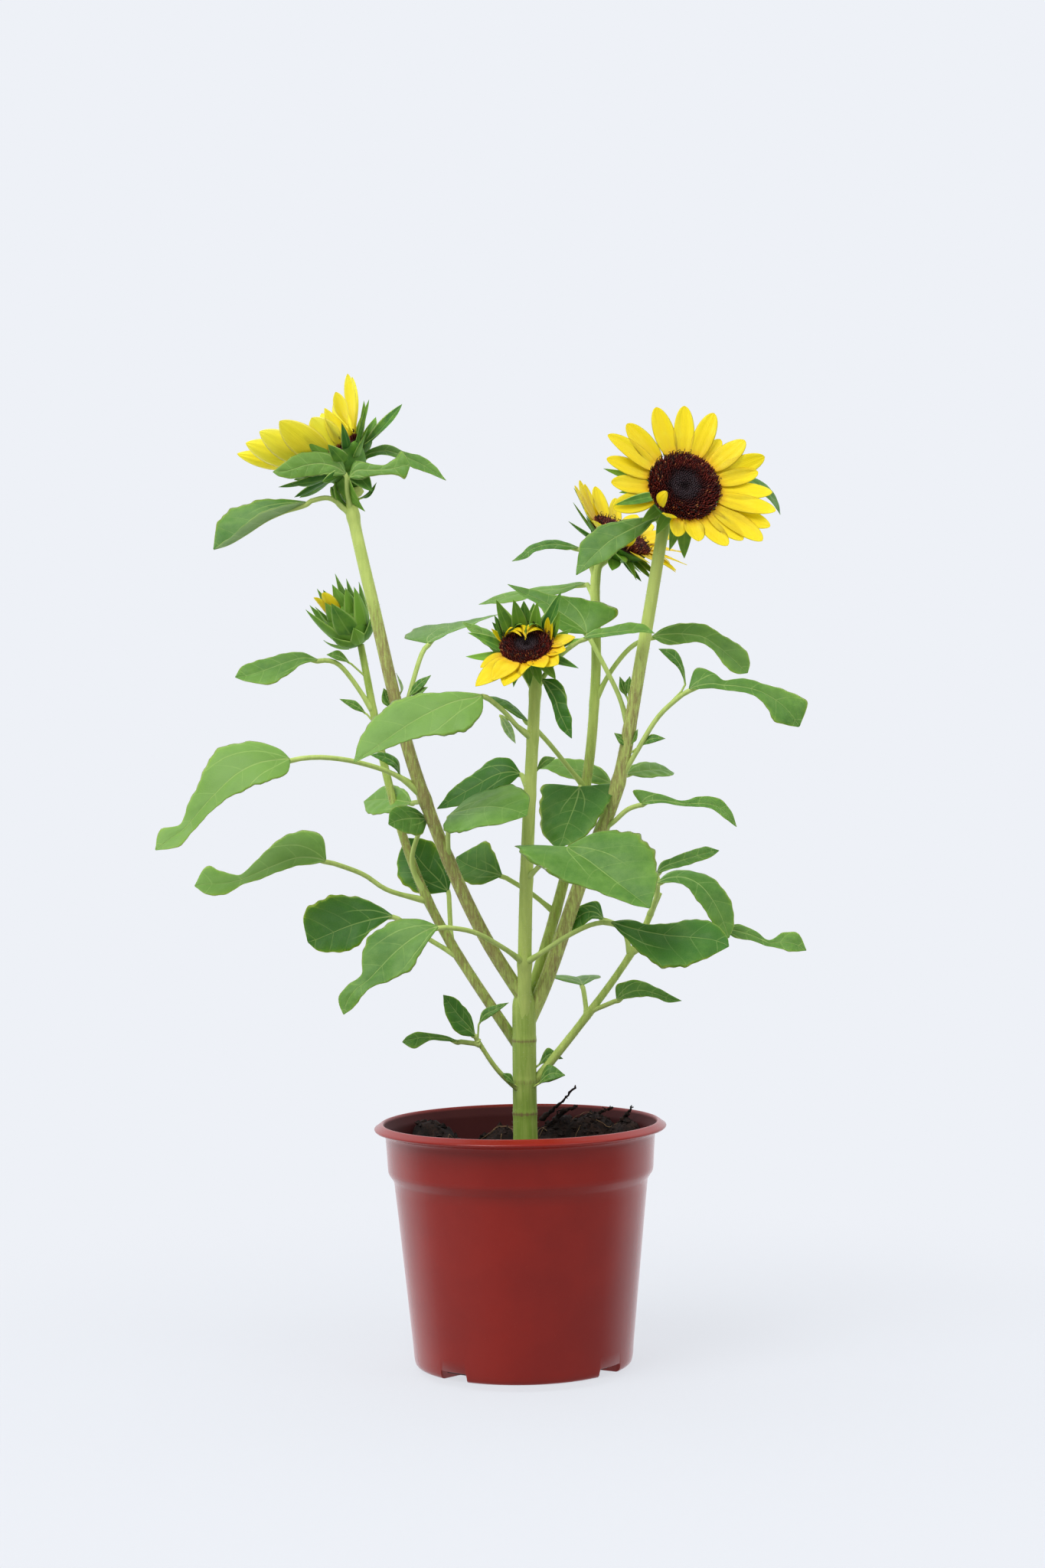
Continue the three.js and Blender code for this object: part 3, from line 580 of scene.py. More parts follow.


# ---- leaves ----
# Leaves as [height, tone, set, stalk, stations, tip]. A leaf leaves its stem at a height, and its tone goes
# from fresh at 0 to deep green at 1; front_1's deep tone is painted shade, as it hangs in shade. The set of
# its blade is how far it leans (plus lifts its left), how far both halves fold up, and how far the left and
# the right half sweep back at the foot, all in degrees.
# The stalk runs through a few points to the foot of the blade, and each station is a point of the midrib
# with the half widths to its left and right.
leaf_plans = {
    "tall_left_1": (492, 0.7, (-17, 42, 0, 0), [(-104, -8, 503), (-117, -12, 501)], [
        (-127, -14, 496, 8, 9), (-140, -16, 490, 11, 16), (-152, -18, 482, 12, 21), (-162, -20, 476, 8, 16),
    ], (-171, -22, 473)),
    "tall_left_2": (494, 0.3, (-80, 0, 0, 0), [(-94, -10, 505), (-94, -15, 516)], [
        (-100, -17, 520, 6, 7), (-108, -19, 522, 7, 7), (-117, -21, 521, 7, 8), (-126, -23, 518, 5, 6),
        (-132, -24, 517, 3, 3),
    ], (-136, -24, 517)),
    "tall_left_3": (493, 0.5, (50, 5, 0, 0), [(-89, -1, 508), (-88, 4, 525)], [
        (-82, 6, 530, 3, 3), (-72, 7, 532, 5, 4), (-63, 7, 529, 4, 4), (-54, 7, 525, 6, 6),
        (-47, 8, 521, 5, 4),
    ], (-37, 8, 514)),
    "tall_left_4": (372, 0.4, (0, 5, 0, 0), [(-55, 5, 408), (-50, 10, 419)], [
        (-47, 16, 422, 20, 8), (-40, 24, 426, 30, 10), (-30, 32, 430, 26, 12), (-19, 39, 434, 17, 10),
    ], (-8, 46, 438)),
    "tall_left_5": (327, 0.2, (-55, 5, 0, 0), [(-60, 4, 326)], [
        (-66, 12, 327, 7, 6), (-73, 22, 328, 11, 9), (-82, 33, 328, 11, 9),
    ], (-91, 44, 327)),
    "tall_left_6": (329, 0.12, (-45, 3, 0, 0), [
        (-68, -14, 342), (-90, -24, 350), (-110, -31, 353), (-127, -36, 352),
    ], [
        (-132, -38, 352, 12, 9), (-145, -42, 350, 17, 19), (-157, -45, 344, 14, 22),
        (-168, -48, 334, 9, 15), (-178, -50, 323, 7, 10), (-186, -52, 314, 6, 4), (-194, -55, 308, 8, 9),
    ], (-202, -58, 302)),
    "tall_left_7": (292, 0.5, (30, 0, 20, 20), [(-39, -14, 305), (-38, -20, 319)], [
        (-30, -26, 321, 16, 18), (-20, -32, 323, 24, 26), (-10, -38, 323, 25, 26), (0, -43, 321, 16, 18),
    ], (7, -48, 318)),
    "bud_1": (380, 0.4, (-45, 5, 0, 0), [(-95, 21, 399), (-104, 19, 409), (-114, 18, 411)], [
        (-124, 17, 412, 6, 5), (-135, 15, 409, 11, 8), (-146, 13, 405, 13, 9), (-156, 10, 402, 7, 8),
    ], (-163, 8, 401)),
    "bud_2": (272, 0.6, (-60, 0, 0, 0), [(-61, 10, 290), (-57, 3, 307), (-51, -4, 317)], [
        (-56, -9, 317, 9, 7), (-62, -14, 317, 11, 9), (-68, -19, 316, 8, 8),
    ], (-73, -22, 314)),
    "bud_3": (268, 0.3, (-50, 3, 0, 20), [(-75, 8, 275), (-90, 5, 285), (-110, -2, 293)], [
        (-118, -4, 295, 5, 18), (-128, -6, 295, 6, 20), (-140, -8, 291, 6, 14), (-152, -9, 286, 5, 7),
        (-160, -10, 283, 4, 4), (-170, -11, 281, 9, 9), (-179, -12, 281, 8, 12),
    ], (-186, -13, 280)),
    "bud_4": (235, 0.9, (-60, 0, 0, 0), [(-55, 10, 248), (-72, 8, 260)], [
        (-80, 7, 259, 4, 9), (-90, 5, 257, 9, 18), (-100, 3, 254, 15, 22), (-110, 2, 250, 12, 22),
        (-118, 0, 247, 8, 17),
    ], (-122, -2, 246)),
    "bud_5": (243, 0.9, (-60, 5, 0, 0), [(-40, 20, 273)], [
        (-46, 24, 280, 13, 11), (-54, 28, 288, 17, 13), (-61, 33, 297, 12, 11),
    ], (-66, 38, 305)),
    # front_1's deep tone is painted shade: it hangs in shade just below the front bloom.
    "front_1": (396, 0.95, (75, 4, 0, 0), [(16, -27, 396)], [
        (20, -29, 391, 7, 2), (24, -31, 384, 7, 3), (26, -33, 377, 6, 3), (29, -35, 370, 5, 4),
    ], (33, -38, 361)),
    "front_2": (388, 0.12, (-45, 3, 0, 0), [(6, -14, 400), (-1, -11, 411)], [
        (-6, -11, 416, 9, 5), (-14, -12, 421, 8, 6), (-22, -13, 426, 5, 4),
    ], (-29, -14, 430)),
    "front_3": (389, 0.4, (45, 5, 0, 0), [(18, -21, 398), (28, -21, 410), (40, -20, 419)], [
        (47, -20, 421, 4, 3), (56, -20, 422, 5, 3), (66, -21, 423, 6, 3), (75, -21, 423, 5, 2),
    ], (82, -22, 421)),
    "front_4": (362, 0.12, (-50, 2, 0, 0), [(3, -25, 368), (-6, -34, 378), (-17, -44, 387)], [
        (-22, -46, 385, 12, 4), (-33, -49, 383, 22, 8), (-45, -52, 378, 20, 14), (-58, -55, 371, 13, 18),
        (-70, -58, 363, 7, 17), (-80, -60, 356, 3, 11),
    ], (-90, -62, 349)),
    "front_5": (329, 0.85, (-50, 5, 0, 0), [(6, -10, 336), (4, -4, 342)], [
        (-3, -4, 343, 10, 10), (-12, -3, 341, 12, 12), (-23, -1, 335, 10, 9), (-34, 0, 329, 8, 7),
    ], (-46, 2, 322)),
    "front_6": (281, 0.5, (32, 12, 0, 60), [(18, -28, 293), (29, -38, 300)], [
        (33, -44, 297, 18, 32), (41, -50, 292, 28, 38), (50, -57, 285, 31, 30), (59, -64, 278, 27, 18),
        (68, -71, 271, 14, 9),
    ], (74, -78, 266)),
    "front_7": (232, 0.5, (-45, 2, 0, 0), [(-8, -20, 242), (-25, -30, 252), (-44, -40, 256)], [
        (-51, -42, 254, 6, 9), (-60, -44, 249, 11, 17), (-69, -47, 242, 16, 20), (-77, -49, 234, 13, 16),
        (-84, -51, 227, 6, 6), (-91, -53, 222, 6, 6), (-96, -54, 215, 6, 6),
    ], (-98, -56, 208)),
    "front_8": (232, 0.85, (42, 2, 0, 0), [
        (13, -16, 238), (28, -24, 248), (42, -31, 255), (53, -36, 257),
    ], [
        (62, -39, 254, 6, 7), (74, -42, 251, 6, 17), (86, -45, 249, 10, 24), (98, -48, 248, 15, 25),
        (108, -51, 247, 12, 19), (115, -53, 245, 6, 10),
    ], (119, -56, 243)),
    "tall_right_1": (483, 0.6, (42, 0, 0, 0), [(100, 2, 495), (120, 8, 508)], [
        (128, 10, 511, 4, 4), (139, 12, 512, 6, 5), (149, 14, 507, 7, 6), (156, 16, 499, 6, 7),
    ], (159, 18, 492)),
    "tall_right_2": (481, 0.5, (-55, 0, 0, 0), [(84, -14, 489)], [
        (76, -15, 485, 5, 5), (66, -17, 480, 8, 10), (57, -18, 475, 9, 12), (49, -20, 468, 8, 12),
        (43, -21, 462, 4, 7),
    ], (37, -22, 455)),
    "tall_right_3": (366, 0.5, (-37, 12, 0, 35), [(62, 1, 385), (54, 5, 403), (44, 8, 423)], [
        (38, 12, 429, 14, 26), (29, 16, 436, 13, 22), (19, 20, 443, 6, 8), (9, 25, 448, 4, 5),
    ], (-3, 30, 455)),
    "tall_right_4": (336, 0.6, (45, 5, 0, 0), [(70, -4, 352), (84, -8, 374), (101, -12, 389)], [
        (107, -13, 391, 14, 3), (115, -14, 392, 9, 4), (121, -15, 391, 4, 4), (131, -16, 390, 7, 5),
        (142, -18, 387, 7, 6), (152, -19, 381, 10, 11), (159, -21, 374, 14, 13),
    ], (164, -22, 366)),
    "tall_right_5": (336, 0.25, (35, 3, 0, 0), [(65, 9, 341)], [
        (72, 14, 342, 6, 6), (81, 21, 343, 8, 8), (89, 28, 343, 7, 7),
    ], (95, 34, 341)),
    "tall_right_6": (330, 0.2, (-45, 3, 0, 0), [(58, 28, 335)], [
        (50, 34, 339, 6, 6), (40, 39, 343, 8, 8), (28, 44, 346, 7, 7), (20, 47, 347, 4, 4),
    ], (13, 50, 345)),
    "tall_right_7": (308, 0.5, (45, 3, 45, 0), [(57, -2, 313), (65, -4, 320), (73, -6, 323)], [
        (77, -7, 325, 13, 3), (86, -8, 325, 6, 2), (98, -9, 323, 3, 2), (109, -10, 323, 6, 3),
        (117, -11, 321, 6, 4), (123, -12, 316, 4, 4),
    ], (128, -12, 309)),
    "back_right_1": (457, 0.6, (-40, 3, 0, 0), [(46, 35, 468), (41, 34, 476)], [
        (33, 33, 477, 4, 4), (24, 32, 478, 5, 5), (14, 30, 476, 4, 4), (7, 29, 471, 3, 3),
    ], (0, 28, 468)),
    "back_right_2": (440, 0.15, (-35, 0, 0, 0), [(48, 40, 448), (45, 46, 456)], [
        (38, 50, 455, 4, 4), (28, 55, 453, 7, 5), (16, 61, 453, 7, 5), (3, 66, 451, 8, 5),
        (-9, 71, 449, 6, 5),
    ], (-21, 75, 446)),
    "back_right_3": (384, 0.5, (50, 3, 0, 0), [(58, 28, 402), (70, 26, 416), (82, 25, 422)], [
        (90, 24, 423, 6, 8), (101, 22, 423, 9, 8), (112, 20, 421, 9, 5), (121, 18, 415, 9, 5),
        (129, 17, 408, 12, 8), (135, 16, 402, 7, 6),
    ], (138, 15, 399)),
    "back_right_4": (333, 0.8, (-30, -10, 0, 0), [(32, 16, 345), (20, 8, 360), (9, 2, 372)], [
        (4, 0, 377, 5, 4), (-3, -1, 383, 7, 4), (-10, -2, 386, 6, 3), (-16, -3, 387, 4, 2),
    ], (-20, -4, 387)),
    "back_right_5": (326, 0.7, (0, 0, 25, 25), [(38, 17, 332), (38, 10, 334)], [
        (37, 7, 329, 22, 24), (35, 2, 323, 24, 25), (32, -4, 316, 21, 22), (29, -9, 309, 18, 18),
        (27, -13, 303, 11, 11),
    ], (24, -16, 298)),
    "back_right_6": (260, 0.7, (-55, 3, 0, 0), [(8, 16, 272), (-8, 20, 282)], [
        (-15, 23, 284, 8, 9), (-23, 28, 286, 11, 17), (-30, 32, 289, 9, 16),
    ], (-36, 36, 293)),
    "low_right_1": (268, 0.6, (40, 3, 0, 0), [(83, 12, 278), (82, 12, 282)], [
        (87, 13, 286, 4, 4), (96, 14, 289, 5, 5), (106, 15, 292, 6, 5), (114, 17, 294, 5, 4),
    ], (120, 18, 295)),
    "low_right_2": (258, 0.6, (35, 0, 0, 0), [(82, 4, 270), (81, 0, 277)], [
        (89, -2, 280, 6, 5), (98, -4, 280, 8, 6), (106, -7, 276, 10, 8), (112, -10, 269, 11, 9),
        (117, -12, 260, 10, 8), (120, -14, 252, 6, 6),
    ], (122, -16, 245)),
    "low_right_3": (236, 0.5, (50, 3, 0, 0), [(84, 11, 246), (102, 9, 251), (121, 8, 249)], [
        (128, 8, 248, 5, 5), (138, 7, 245, 4, 4), (147, 7, 241, 2, 3), (155, 6, 241, 7, 5),
        (162, 5, 240, 8, 6),
    ], (169, 5, 236)),
    "low_right_4": (235, 0.9, (-50, 3, 0, 0), [(62, 10, 250), (51, 8, 256)], [
        (46, 8, 260, 5, 8), (40, 7, 260, 6, 6), (33, 6, 255, 6, 5),
    ], (27, 4, 248)),
    "low_right_5": (203, 0.6, (45, 3, 30, 0), [(48, 4, 205), (57, 0, 209)], [
        (63, -2, 213, 10, 4), (71, -3, 215, 8, 5), (80, -5, 213, 5, 3), (88, -7, 210, 3, 3),
    ], (95, -8, 209)),
    "low_right_6": (200, 0.2, (0, 3, 0, 0), [(39, 10, 210), (38, 14, 217)], [
        (37, 22, 219, 12, 8), (36, 32, 220, 20, 13), (35, 42, 220, 18, 14), (34, 51, 219, 10, 8),
    ], (34, 58, 217)),
    "low_left_1": (188, 0.75, (-60, 5, 0, 0), [(-25, -13, 191)], [
        (-29, -16, 197, 9, 7), (-34, -19, 203, 11, 8), (-39, -21, 210, 8, 6),
    ], (-43, -23, 216)),
    "low_left_2": (186, 0.5, (-50, 3, 0, 0), [(-34, -14, 188)], [
        (-42, -16, 190, 2, 2), (-51, -18, 191, 2, 3), (-58, -20, 191, 6, 4), (-63, -21, 190, 6, 3),
    ], (-67, -22, 189)),
}


def sprig(stem, height, tone, lean, foot, station, tip):
    """The plan of a small shoot, whose stalk has one point and whose blade has one station."""
    return stem, (height, tone, (lean, 5, 0, 0), [foot], [station], tip)


# Small leaves that the frame has no piece for: the stem that each springs from, then a plan as above.
shoot_plans = {
    "wing": ("tall_left", (496, 0.25, (78, 0, 0, 0), [(-93, -9, 506), (-93, -15, 514)], [
        (-88, -16, 518, 6, 6), (-80, -17, 518, 4, 4), (-72, -18, 518, 3, 3), (-65, -19, 519, 6, 5),
        (-61, -20, 520, 9, 8),
    ], (-57, -20, 520))),
    "left_hook": ("tall_left", (497, 0.95, (60, 0, 0, 0), [(-87, -9, 503)], [
        (-83, -10, 504, 1.6, 1.6), (-80, -10, 507, 1.3, 1.3),
    ], (-77, -10, 512))),
    "left_dark": ("tall_left", (336, 0.95, (-40, 5, 0, 0), [(-66, -11, 342)], [
        (-69, -12, 349, 6, 5), (-76, -14, 353, 5, 4),
    ], (-83, -16, 354))),
    "left_a": sprig("tall_left", 382, 0.4, 60, (-66, -5, 388), (-65, -4, 393, 4, 4), (-68, -3, 402)),
    "left_b": sprig("tall_left", 376, 0.6, -60, (-69, -10, 380), (-73, -10, 386, 4, 4), (-75, -10, 393)),
    "left_c": sprig("tall_left", 380, 0.7, 60, (-61, -9, 387), (-55, -10, 394, 3, 4), (-47, -11, 400)),
    "left_d": sprig("tall_left", 376, 0.6, 60, (-60, -10, 384), (-55, -11, 390, 3, 3), (-49, -12, 393)),
    "bud_left": sprig("bud", 372, 0.6, -60, (-87, 21, 379), (-94, 20, 384, 3, 3), (-103, 19, 388)),
    "bud_ear": sprig("bud", 400, 0.4, -60, (-96, 20, 409), (-103, 18, 413, 3, 4), (-110, 17, 414)),
    "right_a": sprig("tall_right", 350, 0.6, 60, (73, -5, 357), (80, -7, 361, 3, 3), (88, -9, 361)),
    "right_b": sprig("tall_right", 348, 0.6, -60, (66, -3, 357), (63, -4, 361, 4, 3), (58, -4, 365)),
    "right_c": sprig("tall_right", 350, 0.5, 60, (68, -4, 358), (70, -5, 362, 3, 3), (72, -6, 367)),
    "back_a": sprig("tall_right", 376, 0.7, -60, (66, 0, 386), (64, 0, 391, 3, 3), (62, 0, 398)),
    "back_b": sprig("tall_right", 376, 0.7, 60, (67, -1, 387), (67, -1, 392, 3, 3), (68, -1, 398)),
    "right_ear": ("tall_right", (344, 0.6, (-60, 5, 0, 0), [
        (70, -4, 352), (84, -8, 374), (100, -12, 391),
    ], [
        (97, -12, 402, 2, 2), (92, -12, 409, 4, 4),
    ], (84, -12, 413))),
    "front_hook": ("front", (364, 0.7, (-60, 0, 0, 0), [(2, -26, 370), (-8, -26, 376)], [
        (-5, -27, 371, 3, 3), (-2, -27, 365, 3, 3),
    ], (1, -28, 359))),
    "front_small": sprig("front", 336, 0.5, 60, (12, -14, 343), (18, -14, 349, 3, 3), (24, -14, 351)),
    "low_point": ("low_left", (188, 0.6, (60, 5, 0, 0), [(-23, -12, 198)], [
        (-19, -12, 203, 3, 3), (-13, -12, 206, 3, 2),
    ], (-5, -12, 210))),
    "low_a": sprig("trunk", 156, 0.7, 60, (11, -6, 162), (18, -8, 168, 6, 5), (27, -9, 167)),
    "low_b": sprig("trunk", 166, 0.6, 60, (11, 0, 172), (18, 4, 178, 4, 4), (26, 6, 175)),
    "low_c": sprig("trunk", 156, 0.7, -60, (-3, -7, 162), (-6, -9, 166, 3, 3), (-10, -10, 169)),
}
BLADE_ROWS = 56
BLADE_COLUMNS = 13  # in each half of a blade
STALK_RADIUS = 1.45
STALK_POINTS = 16
STALK_SIDES = 10
SHOOT_COLUMNS = 5
SHOOT_STALK_RADIUS = 0.6


def blade_edges(base, blade_set, blade, tip):
    """The stations of a blade as (left, mid, right) points. With w the way of the midrib, l = z x w the
    level way to its left and v = w x l, a half that stands at an angle a runs along c = +-l cos a + v sin a,
    and swept back by s its edge is M + W (c cos s - w sin s), where s falls evenly to nothing at the tip."""
    lean, fold, *sweeps = np.radians(blade_set)
    mid = np.array([base, *(station[:3] for station in blade), tip], float)
    ways = unit(np.gradient(mid, axis=0))
    levels = unit(np.cross([0.0, 0.0, 1.0], ways))
    ups = np.cross(ways, levels)
    stations = []
    for k, (*_, left, right) in enumerate(blade, 1):
        edges = []
        for side, width, sweep in ((1, left, sweeps[0]), (-1, right, sweeps[1])):
            angle = fold + side * lean
            back = sweep * (1 - k / (len(mid) - 1))
            reach = side * math.cos(angle) * levels[k] + math.sin(angle) * ups[k]
            edges.append(mid[k] + width * (math.cos(back) * reach - math.sin(back) * ways[k]))
        stations.append((edges[0], mid[k], edges[1]))
    return stations


def blade_lines(base, stations, tip):
    """The left edge, midrib and right edge of a blade as smooth lines through its stations, all read at
    the same positions, which are even along the midrib."""
    ways = [np.array([base, *(station[k] for station in stations), tip], float) for k in range(3)]
    last = len(stations) + 1
    fine = np.linspace(0.1, last - 0.05, 400)
    positions = even_positions(along_way(ways[1], fine), fine, BLADE_ROWS)
    return [along_way(way, positions) for way in ways]


def blade_shape(lines, tone, rng, columns=BLADE_COLUMNS):
    """A blade as one thin closed skin. Its middle surface is S = M + |u| (E - M) t, from the midrib M to
    the edge E on either side, with t the shallow irregular teeth, and stands off by a bulge |u| (1 - |u|),
    by quilting between the veins and by ripples u^2 sin. The two faces are S +- h sqrt(1 - u^2) along the
    unit normal dS/du x dS/ds."""
    left, mid, right = lines
    x = np.linspace(-1, 1, 2 * columns + 1)
    u = (np.sign(x) * (0.6 * np.abs(x) + 0.4 * x**2))[None]
    share = np.linspace(0, 1, len(mid))[:, None]
    run = np.concatenate([[0], np.cumsum(np.linalg.norm(np.diff(mid, axis=0), axis=1))])[:, None]
    length = run[-1, 0]
    on_left = (u < 0)[..., None]
    span = np.where(on_left, (left - mid)[:, None], (right - mid)[:, None])
    width = np.linalg.norm(span, axis=-1)
    tangent = unit(np.gradient(mid, axis=0))
    leans = [np.cross(mid - left, tangent)[:, None], np.cross(right - mid, tangent)[:, None]]
    lean = np.where(on_left, *leans)
    lean = lean / (np.linalg.norm(lean, axis=-1, keepdims=True) + 1e-6)
    phase = rng.uniform(0, 6, 6)
    turn = np.where(u < 0, phase[0], phase[1])
    teeth = 0.030 * np.sin(length * 0.42 * share + turn) + 0.022 * np.sin(length * 0.95 * share + 2 * turn)
    reach = np.abs(u) * (1 + teeth * np.abs(u) ** 3 * smooth(0.05, 0.25, share))
    offset = u * width
    gap = max(4.0, length / 4.6)
    vein = (run - 0.55 * np.abs(offset) - 0.012 * offset**2) / gap + phase[2] / 6
    quilt = 0.30 * np.cos(2 * math.pi * vein) * smooth(0.05, 0.35, np.abs(u)) * (1 - 0.6 * np.abs(u))
    ripple = 0.05 * width * u**2 * np.sin(length * 0.16 * share + turn)
    bulge = 0.16 * width * np.abs(u) * (1 - np.abs(u))
    calm = smooth(0.0, 0.2, share) * (1 - 0.7 * smooth(0.85, 1, share)) * min(1.0, length / 40)
    surface = mid[:, None] + span * reach[..., None] + lean * (bulge + (quilt + ripple) * calm)[..., None]
    normal = np.cross(np.gradient(surface, axis=1), np.gradient(surface, axis=0))
    normal = normal / (np.linalg.norm(normal, axis=-1, keepdims=True) + 1e-9)
    half = (mix(0.24, 0.14, share) * np.sqrt(np.clip(1 - u**2, 0, 1)))[..., None] * normal
    rings = np.concatenate([surface + half, (surface - half)[:, -2:0:-1]], axis=1)
    under = np.arange(rings.shape[1]) >= 2 * columns
    values = {"across": offset, "along": run + 0 * offset, "vein": vein}
    values = {name: np.concatenate([value, value[:, -2:0:-1]], axis=1) for name, value in values.items()}
    material = np.broadcast_to(under.astype(int), (len(rings) - 1, len(under)))
    return tube(rings, material, gap=gap, tone=tone, **values), normal[:, columns]


def leaf_shape(start, plan, rng, stalk_radius=STALK_RADIUS, columns=BLADE_COLUMNS):
    """A leaf: its blade, and a rod that is the stalk and then the midrib that stands out underneath."""
    _, tone, blade_set, stalk, blade, tip = plan
    lines = blade_lines(stalk[-1], blade_edges(stalk[-1], blade_set, blade, tip), tip)
    skin, normal = blade_shape(lines, tone + rng.uniform(-0.06, 0.06), rng, columns)
    share = np.linspace(0, 1, len(lines[1]))
    rib = stalk_radius * (0.72 * (1 - smooth(0.0, 0.25, share)) + 0.26 * (1 - share) + 0.06)
    ridge = lines[1] - normal * (rib * 0.8)[:, None]
    before = smooth_line([start, *stalk], STALK_POINTS)[:-1]
    before_radius = stalk_radius * (1.0 + 0.5 * (1 - smooth(0.0, 0.3, np.linspace(0, 1, len(before)))))
    path = np.concatenate([before, ridge])
    rod_shape = rod(path, np.concatenate([before_radius, rib]), STALK_SIDES, 2, fleck=0.12, tone=0.35)
    return joined([skin, rod_shape])


stem_lines = {name: stem_line(plan) for name, plan in stem_plans.items()}
for number, (name, plan) in enumerate(stem_plans.items()):
    rng = np.random.default_rng(100 + number)
    drawn = {key: leaf for key, leaf in leaf_plans.items() if key.rsplit("_", 1)[0] == name}
    line = stem_lines[name]
    skin = stem_shape(name, plan, [leaf[0] for leaf in drawn.values()])
    piece(f"stem_{name}_skin", skin, [STEM], [f"stem_{name}"])
    leaves = [leaf_shape(at_height(line, leaf[0]), leaf, rng) for leaf in drawn.values()]
    piece(f"hairs_{name}", hairs(line, plan["radius"], rng), [HAIR])
    if leaves:
        nodes = [f"leaf_{key}" for key in drawn]
        piece(f"foliage_{name}", joined(leaves), [UPPER, UNDER, STALK], nodes)
rng = np.random.default_rng(40)
shoots = [
    leaf_shape(at_height(stem_lines[stem], leaf[0]), leaf, rng, SHOOT_STALK_RADIUS, SHOOT_COLUMNS)
    for stem, leaf in shoot_plans.values()
]
piece("foliage_shoots", joined(shoots), [UPPER, UNDER, STALK])


# ---- blooms ----
# In a bloom's own frame its face looks along +Z, angle 0 points down the plant and 90 to its right.
def bloom_frame(plan):
    """The axes of a bloom as rows, from its heading and pitch."""
    heading, pitch = math.radians(plan["heading"]), math.radians(plan["pitch"])
    down = (math.cos(heading) * math.sin(pitch), math.sin(heading) * math.sin(pitch), -math.cos(pitch))
    right = (-math.sin(heading), math.cos(heading), 0.0)
    return np.array([down, right, np.cross(down, right)])


def placed(shape, plan):
    """The shape moved from a bloom's own frame to the plant."""
    shape.points = np.array(plan["centre"], float) + shape.points @ bloom_frame(plan)
    return shape


def tongue(angle, radius, height, lift, bend, length, width, fullness=(0.55, 0.6), cup=0.2, twist=0,
           sway=0, thick=0.35, pleat=0.0, rows=20, columns=5, **values):
    """A petal or a bract: a thin lens u W across and +-h sqrt(1 - u^2) thick, along a line that leaves the
    radius and height at an angle round the bloom, climbs at lift degrees and bends by bend along its
    length. W is v^a (1 - v)^b over its peak, and the middle surface is cupped by u^2 and pleated by cos."""
    share = 1 - (1 - np.linspace(0, 1, rows + 1)[1:]) ** 1.4
    fine = np.linspace(0, 1, 80)
    climb = np.radians(lift + bend * fine)
    turn = np.radians(sway) * fine**1.5
    ways = np.stack([np.cos(climb) * np.cos(turn), np.cos(climb) * np.sin(turn), np.sin(climb)], -1)
    path = np.concatenate([np.zeros((1, 3)), np.cumsum((ways[1:] + ways[:-1]) / 2, axis=0)])
    path = path * length / (len(fine) - 1)
    points = np.stack([np.interp(share, fine, path[:, k]) for k in range(3)], -1) + (radius, 0, height)
    ways = unit(np.stack([np.interp(share, fine, ways[:, k]) for k in range(3)], -1))
    turn = np.interp(share, fine, turn)
    across = np.stack([-np.sin(turn), np.cos(turn), 0 * turn], -1)
    across = turn_about(across, ways, np.radians(twist) * share)
    up = np.cross(ways, across)
    a, b = fullness
    peak = a / (a + b)
    outline = ((share + 0.03) / peak) ** a * (np.clip(1.0 - share, 0.0, 1) / (1 - peak)) ** b
    half = np.maximum(width / 2 * outline, 0.12)[:, None]
    x = np.linspace(-1, 1, 2 * columns + 1)
    u = np.concatenate([x, x[-2:0:-1]])[None, ::-1]
    face = np.concatenate([np.ones(len(x)), -np.ones(len(x) - 2)])[None, ::-1]
    rim = np.sqrt(np.clip(1 - u**2, 0, 1))
    body = cup * half * u**2 + pleat * np.cos(3 * math.pi * u) * smooth(0.0, 0.2, share)[:, None]
    heights = body + face * thick * rim * (1 - 0.6 * share[:, None])
    rings = points[:, None] + across[:, None] * (u * half)[..., None] + up[:, None] * heights[..., None]
    around = math.radians(angle)
    cosine, sine = math.cos(around), math.sin(around)
    turned = np.array([[cosine, sine, 0], [-sine, cosine, 0], [0, 0, 1]])
    values.update(across=u * half, along=(share * length)[:, None], edge=np.abs(u))
    return tube(rings @ turned, **values)


def lathe(profile, sides, material=0, **values):
    """A closed skin turned about Z from [radius, height] pairs that start and end near the axis."""
    profile = np.array(profile, float)
    return tube(ring_points(profile[:, :1], profile[:, 1:], round_angles(sides)), material, **values)


FLORET_SPREAD = 0.97  # of the disc's radius
FLORET_SIDES = 5
STIGMA_RADIUS = 0.17
STIGMA_POINTS = 8
STIGMAS_PER_MM = 7
BLOOM_SIDES = 40


def bed_height(disc, out):
    """The seed bed's height at a share of its radius: it sinks to an eye at its middle."""
    return disc * (0.02 + 0.13 * np.sin(math.pi * out**0.9) - 0.03 * out)


